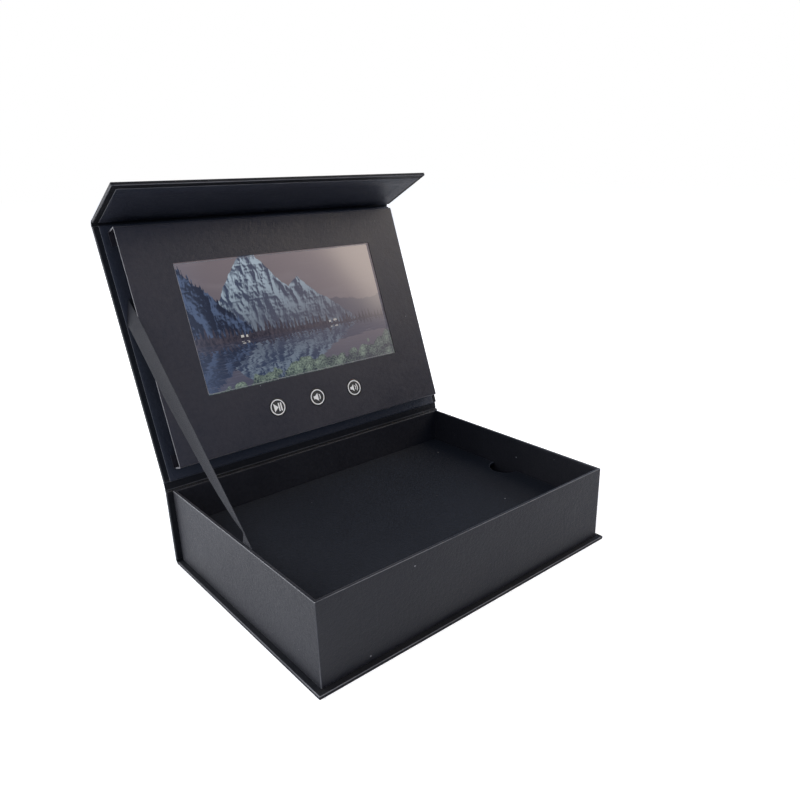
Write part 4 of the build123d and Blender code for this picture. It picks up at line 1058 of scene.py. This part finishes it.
# The right edge is drawn tight and straight. The web turns about it by 53 + 42 t + 15 t^8 degrees
# from the box's width, where t is the share of the way down, and by more where its left edge would
# reach past the wall's outer face when the lid is shut.
t = np.linspace(0, 1, 48)[:, None]
run_way = (PINCH - OVER_CARD) / np.linalg.norm(PINCH - OVER_CARD)
level_way = np.array([1.0, 0, 0]) - run_way * run_way[0]
level_way /= np.linalg.norm(level_way)
right_edge = OVER_CARD + t * (PINCH - OVER_CARD)
least_turn = np.arccos((right_edge[:, :1] - WALL_FACE) / RIBBON_WIDTH)
turned = np.maximum(np.radians(53 + 42 * t + 15 * t ** 8), least_turn)
width_way = np.cos(turned) * level_way + np.sin(turned) * np.cross(run_way, level_way)
hanging = np.stack([right_edge - RIBBON_WIDTH * width_way, right_edge], axis=1)
at_rim = np.stack([WALL_X + 0 * WALL_Y, WALL_Y, RIM + 0.3 + 0 * WALL_Y], axis=-1)
edges = np.concatenate([
    rows_between(FOLD_EDGES + TAIL, FOLD_EDGES, [0, 0.25, 0.5, 0.75, 0.985]) + TAIL_ABOVE * LID[2],
    fold_rows,
    rows_between(FOLD_EDGES + (FOLD_MIDDLE + FOLD_RADIUS) * LID[2], hanging[0],
                 [0.06, 0.2, 0.4, 0.6, 0.8]),
    hanging,
    rows_between(hanging[-1], at_rim, [0.12, 0.27, 0.45, 0.64, 0.82]),
    rows_between(at_rim, at_rim - np.array([0, 0, GLUED_DOWN]), np.linspace(0, 1, 8)),
])
share = np.linspace(0, 1, ACROSS)[None, :, None]
web = edges[:, None, 0] * (1 - share) + edges[:, None, 1] * share
face_way = np.cross(np.gradient(web, axis=1), np.gradient(web, axis=0))
face_way /= np.linalg.norm(face_way, axis=-1, keepdims=True)
steps = np.linalg.norm(np.diff(web.mean(axis=1), axis=0), axis=1)
run = np.concatenate([[0], np.cumsum(steps)])  # length down the middle to each row
# Between its glued ends the web is slightly hollow across: depth x (1 - (2 share - 1)^2).
loose = np.clip((run - 30) / 60, 0, 1) * np.clip((run[-1] - 22 - run) / 50, 0, 1)
hollow = HOLLOW * (1 - (2 * share[..., 0] - 1) ** 2) * loose[:, None]
web = web + hollow[..., None] * face_way
thick = np.array([SELVEDGE] + (ACROSS - 2) * [RIBBON_THICK / 2] + [SELVEDGE])[:, None]
points = np.stack([web + thick * face_way, web - thick * face_way])

# Ribs across and fine warp along, in millimetres of the flat ribbon.
RIB_PITCH, WARP_PITCH = 0.75, 0.28
grosgrain, tree, shader, place = material("grosgrain")
thread_place = node(tree, "UVMap", {}, uv_map="thread")["UV"]
thread_x, thread_y, _ = node(tree, "SeparateXYZ", {"Vector": thread_place})
weft = maths(tree, "SINE", maths(tree, "MULTIPLY", thread_y, 2 * np.pi / RIB_PITCH))
warp = maths(tree, "SINE", maths(tree, "MULTIPLY", thread_x, 2 * np.pi / WARP_PITCH))
ribs = added(tree, warp, 0.3, weft)
tint = ranged(tree, ribs, -1.3, 1.3, 0.15, 0.75)
tint = added(tree, noise(tree, thread_place, 0.35, 4.0), 0.5, tint)
join(tree, shader, {
    "Base Color": mixed(tree, tint, (0.0055, 0.006, 0.0085), (0.014, 0.015, 0.0205)),
    "Normal": bumped(tree, ribs, 0.5, 0.0001), "Roughness": 0.72, "Specular IOR Level": 0.16,
    "Sheen Weight": 0.04, "Sheen Roughness": 0.5,
})
ribbon = piece("ribbon_stay", points, sheet_faces(len(run), ACROSS)[0], grosgrain)
thread_map = ribbon.data.uv_layers.new(name="thread")
corners = np.zeros(len(ribbon.data.loops), np.int32)
ribbon.data.loops.foreach_get("vertex_index", corners)
flat_x, flat_y = np.broadcast_arrays(share[..., 0] * RIBBON_WIDTH, run[:, None])
flat = np.tile(np.stack([flat_x, flat_y], axis=-1).reshape(-1, 2), (2, 1))
thread_map.data.foreach_set("uv", flat[corners].astype(np.float32).ravel())
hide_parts("ribbon")
lower, upper = np.array([0, -10.5, 51.5]), np.array([0, 122.0, 156.0])  # glued ends of the web
bend_start, bend_end = ((lower + part * (upper - lower)) / 1000 for part in (-0.08, 0.9))
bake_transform(ribbon)

# ---- Set: floor, backdrop, lamps and camera ------------------------------------------------------
# A plain pale floor. Two large soft lamps stand at the back left and one at the left, one is high
# at the right, and three weak cool ones fill the front and the right side.
FLOOR_GLOW, FLOOR_GLOW_FAR = 0.52, 0.88  # the floor's own light near the box and away from it
MIRRORED_GLOW = 0.45  # the share of it that reflections show
WORLD_LIGHT, WORLD_TINT = 0.184, (0.75, 0.95, 1.40)
REACH = 6000.0
floor_paint, tree, shader, place = material("floor_paint")
rays = node(tree, "LightPath", {})
seen = maths(tree, "MAXIMUM", rays["Is Camera Ray"], rays["Is Transmission Ray"])
seen = added(tree, rays["Is Glossy Ray"], MIRRORED_GLOW, seen)
distance = node(tree, "VectorMath", {0: place}, operation="LENGTH")["Value"]
glow = ranged(tree, distance, 0.15, 0.9, FLOOR_GLOW, FLOOR_GLOW_FAR)
join(tree, shader, {
    "Base Color": (0.80, 0.80, 0.81), "Roughness": 0.9,
    "Emission Color": (1, 1, 1), "Emission Strength": maths(tree, "MULTIPLY", seen, glow),
})
floor = piece("floor", REACH * np.array([[-1, -1, 0], [1, -1, 0], [1, 1, 0], [-1, 1, 0]]),
              [[0, 1, 2, 3]], floor_paint)

world = bpy.data.worlds.new("studio")
bpy.context.scene.world = world
world.use_nodes = True
tree = world.node_tree
rays = node(tree, "LightPath", {})
seen = maths(tree, "MAXIMUM", rays["Is Camera Ray"], rays["Is Transmission Ray"])
join(tree, tree.nodes["Background"], {
    "Strength": ranged(tree, seen, 0, 1, WORLD_LIGHT, 1.0),
    "Color": mixed(tree, seen, WORLD_TINT, (1, 1, 1)),
})


def lamp(name, at, aim, size, power, colour):
    """A square soft lamp at a place, its -z turned to face another, in metres and watts."""
    data = bpy.data.lights.new(name, "AREA")
    data.shape, data.size, data.energy, data.color = "SQUARE", size, power, colour
    made = bpy.data.objects.new(name, data)
    bpy.context.scene.collection.objects.link(made)
    made.location = at
    made.rotation_euler = (Vector(aim) - Vector(at)).to_track_quat("-Z", "Y").to_euler()


lamp("left_softbox", (-1.6, -0.3, 1.1), (0, 0, 0.08), 1.2, 10, (0.92, 0.95, 1))
lamp("right_high_softbox", (1.35, -0.75, 1.35), (0, 0.05, 0.12), 1.2, 26.5, (1, 0.86, 0.69))
lamp("back_left_softbox", (-1.5, 1.2, 0.8), (0, 0, 0.08), 2.2, 25.5, (1, 0.98, 0.98))
lamp("back_left_low_lamp", (-0.8, 0.75, 0.35), (-0.1, 0, 0.05), 1.0, 14, (1, 1, 1))
lamp("front_left_softbox", (-0.9, -1.7, 0.7), (0, 0, 0.08), 0.9, 4.1, (0.74, 0.83, 1))
lamp("right_softbox", (1.7, 0.1, 0.7), (0, 0, 0.05), 0.9, 9.4, (0.62, 0.77, 1))
lamp("front_softbox", (0.3, -1.7, 0.9), (0, 0, 0.05), 0.9, 2.9, (0.57, 0.71, 1))

PICTURE, FOCAL, MIDDLE_X, MIDDLE_Y = 800, 700.67, 416.782, 422.724  # in the render's pixels
CAMERA_AT = (-0.253525, -0.322665, 0.243012)
RIGHTWARD = (0.75580544, -0.65456306, -0.01747413)
UPWARD = (0.24015616, 0.25227735, 0.93737994)
FORWARD = (0.60916595, 0.71267338, -0.34786994)
camera_data = bpy.data.cameras.new("camera")
camera_data.sensor_width = 36.0
camera_data.lens = 36.0 * FOCAL / PICTURE
camera_data.shift_x = (PICTURE / 2 - MIDDLE_X) / PICTURE
camera_data.shift_y = (MIDDLE_Y - PICTURE / 2) / PICTURE
camera_data.clip_start, camera_data.clip_end = 0.01, 50
camera = bpy.data.objects.new("camera", camera_data)
bpy.context.scene.collection.objects.link(camera)
camera.matrix_world = Matrix([
    [RIGHTWARD[i], UPWARD[i], -FORWARD[i], CAMERA_AT[i]] for i in range(3)
] + [[0, 0, 0, 1]])
bpy.context.scene.camera = camera
bpy.context.scene.view_settings.view_transform = "Standard"
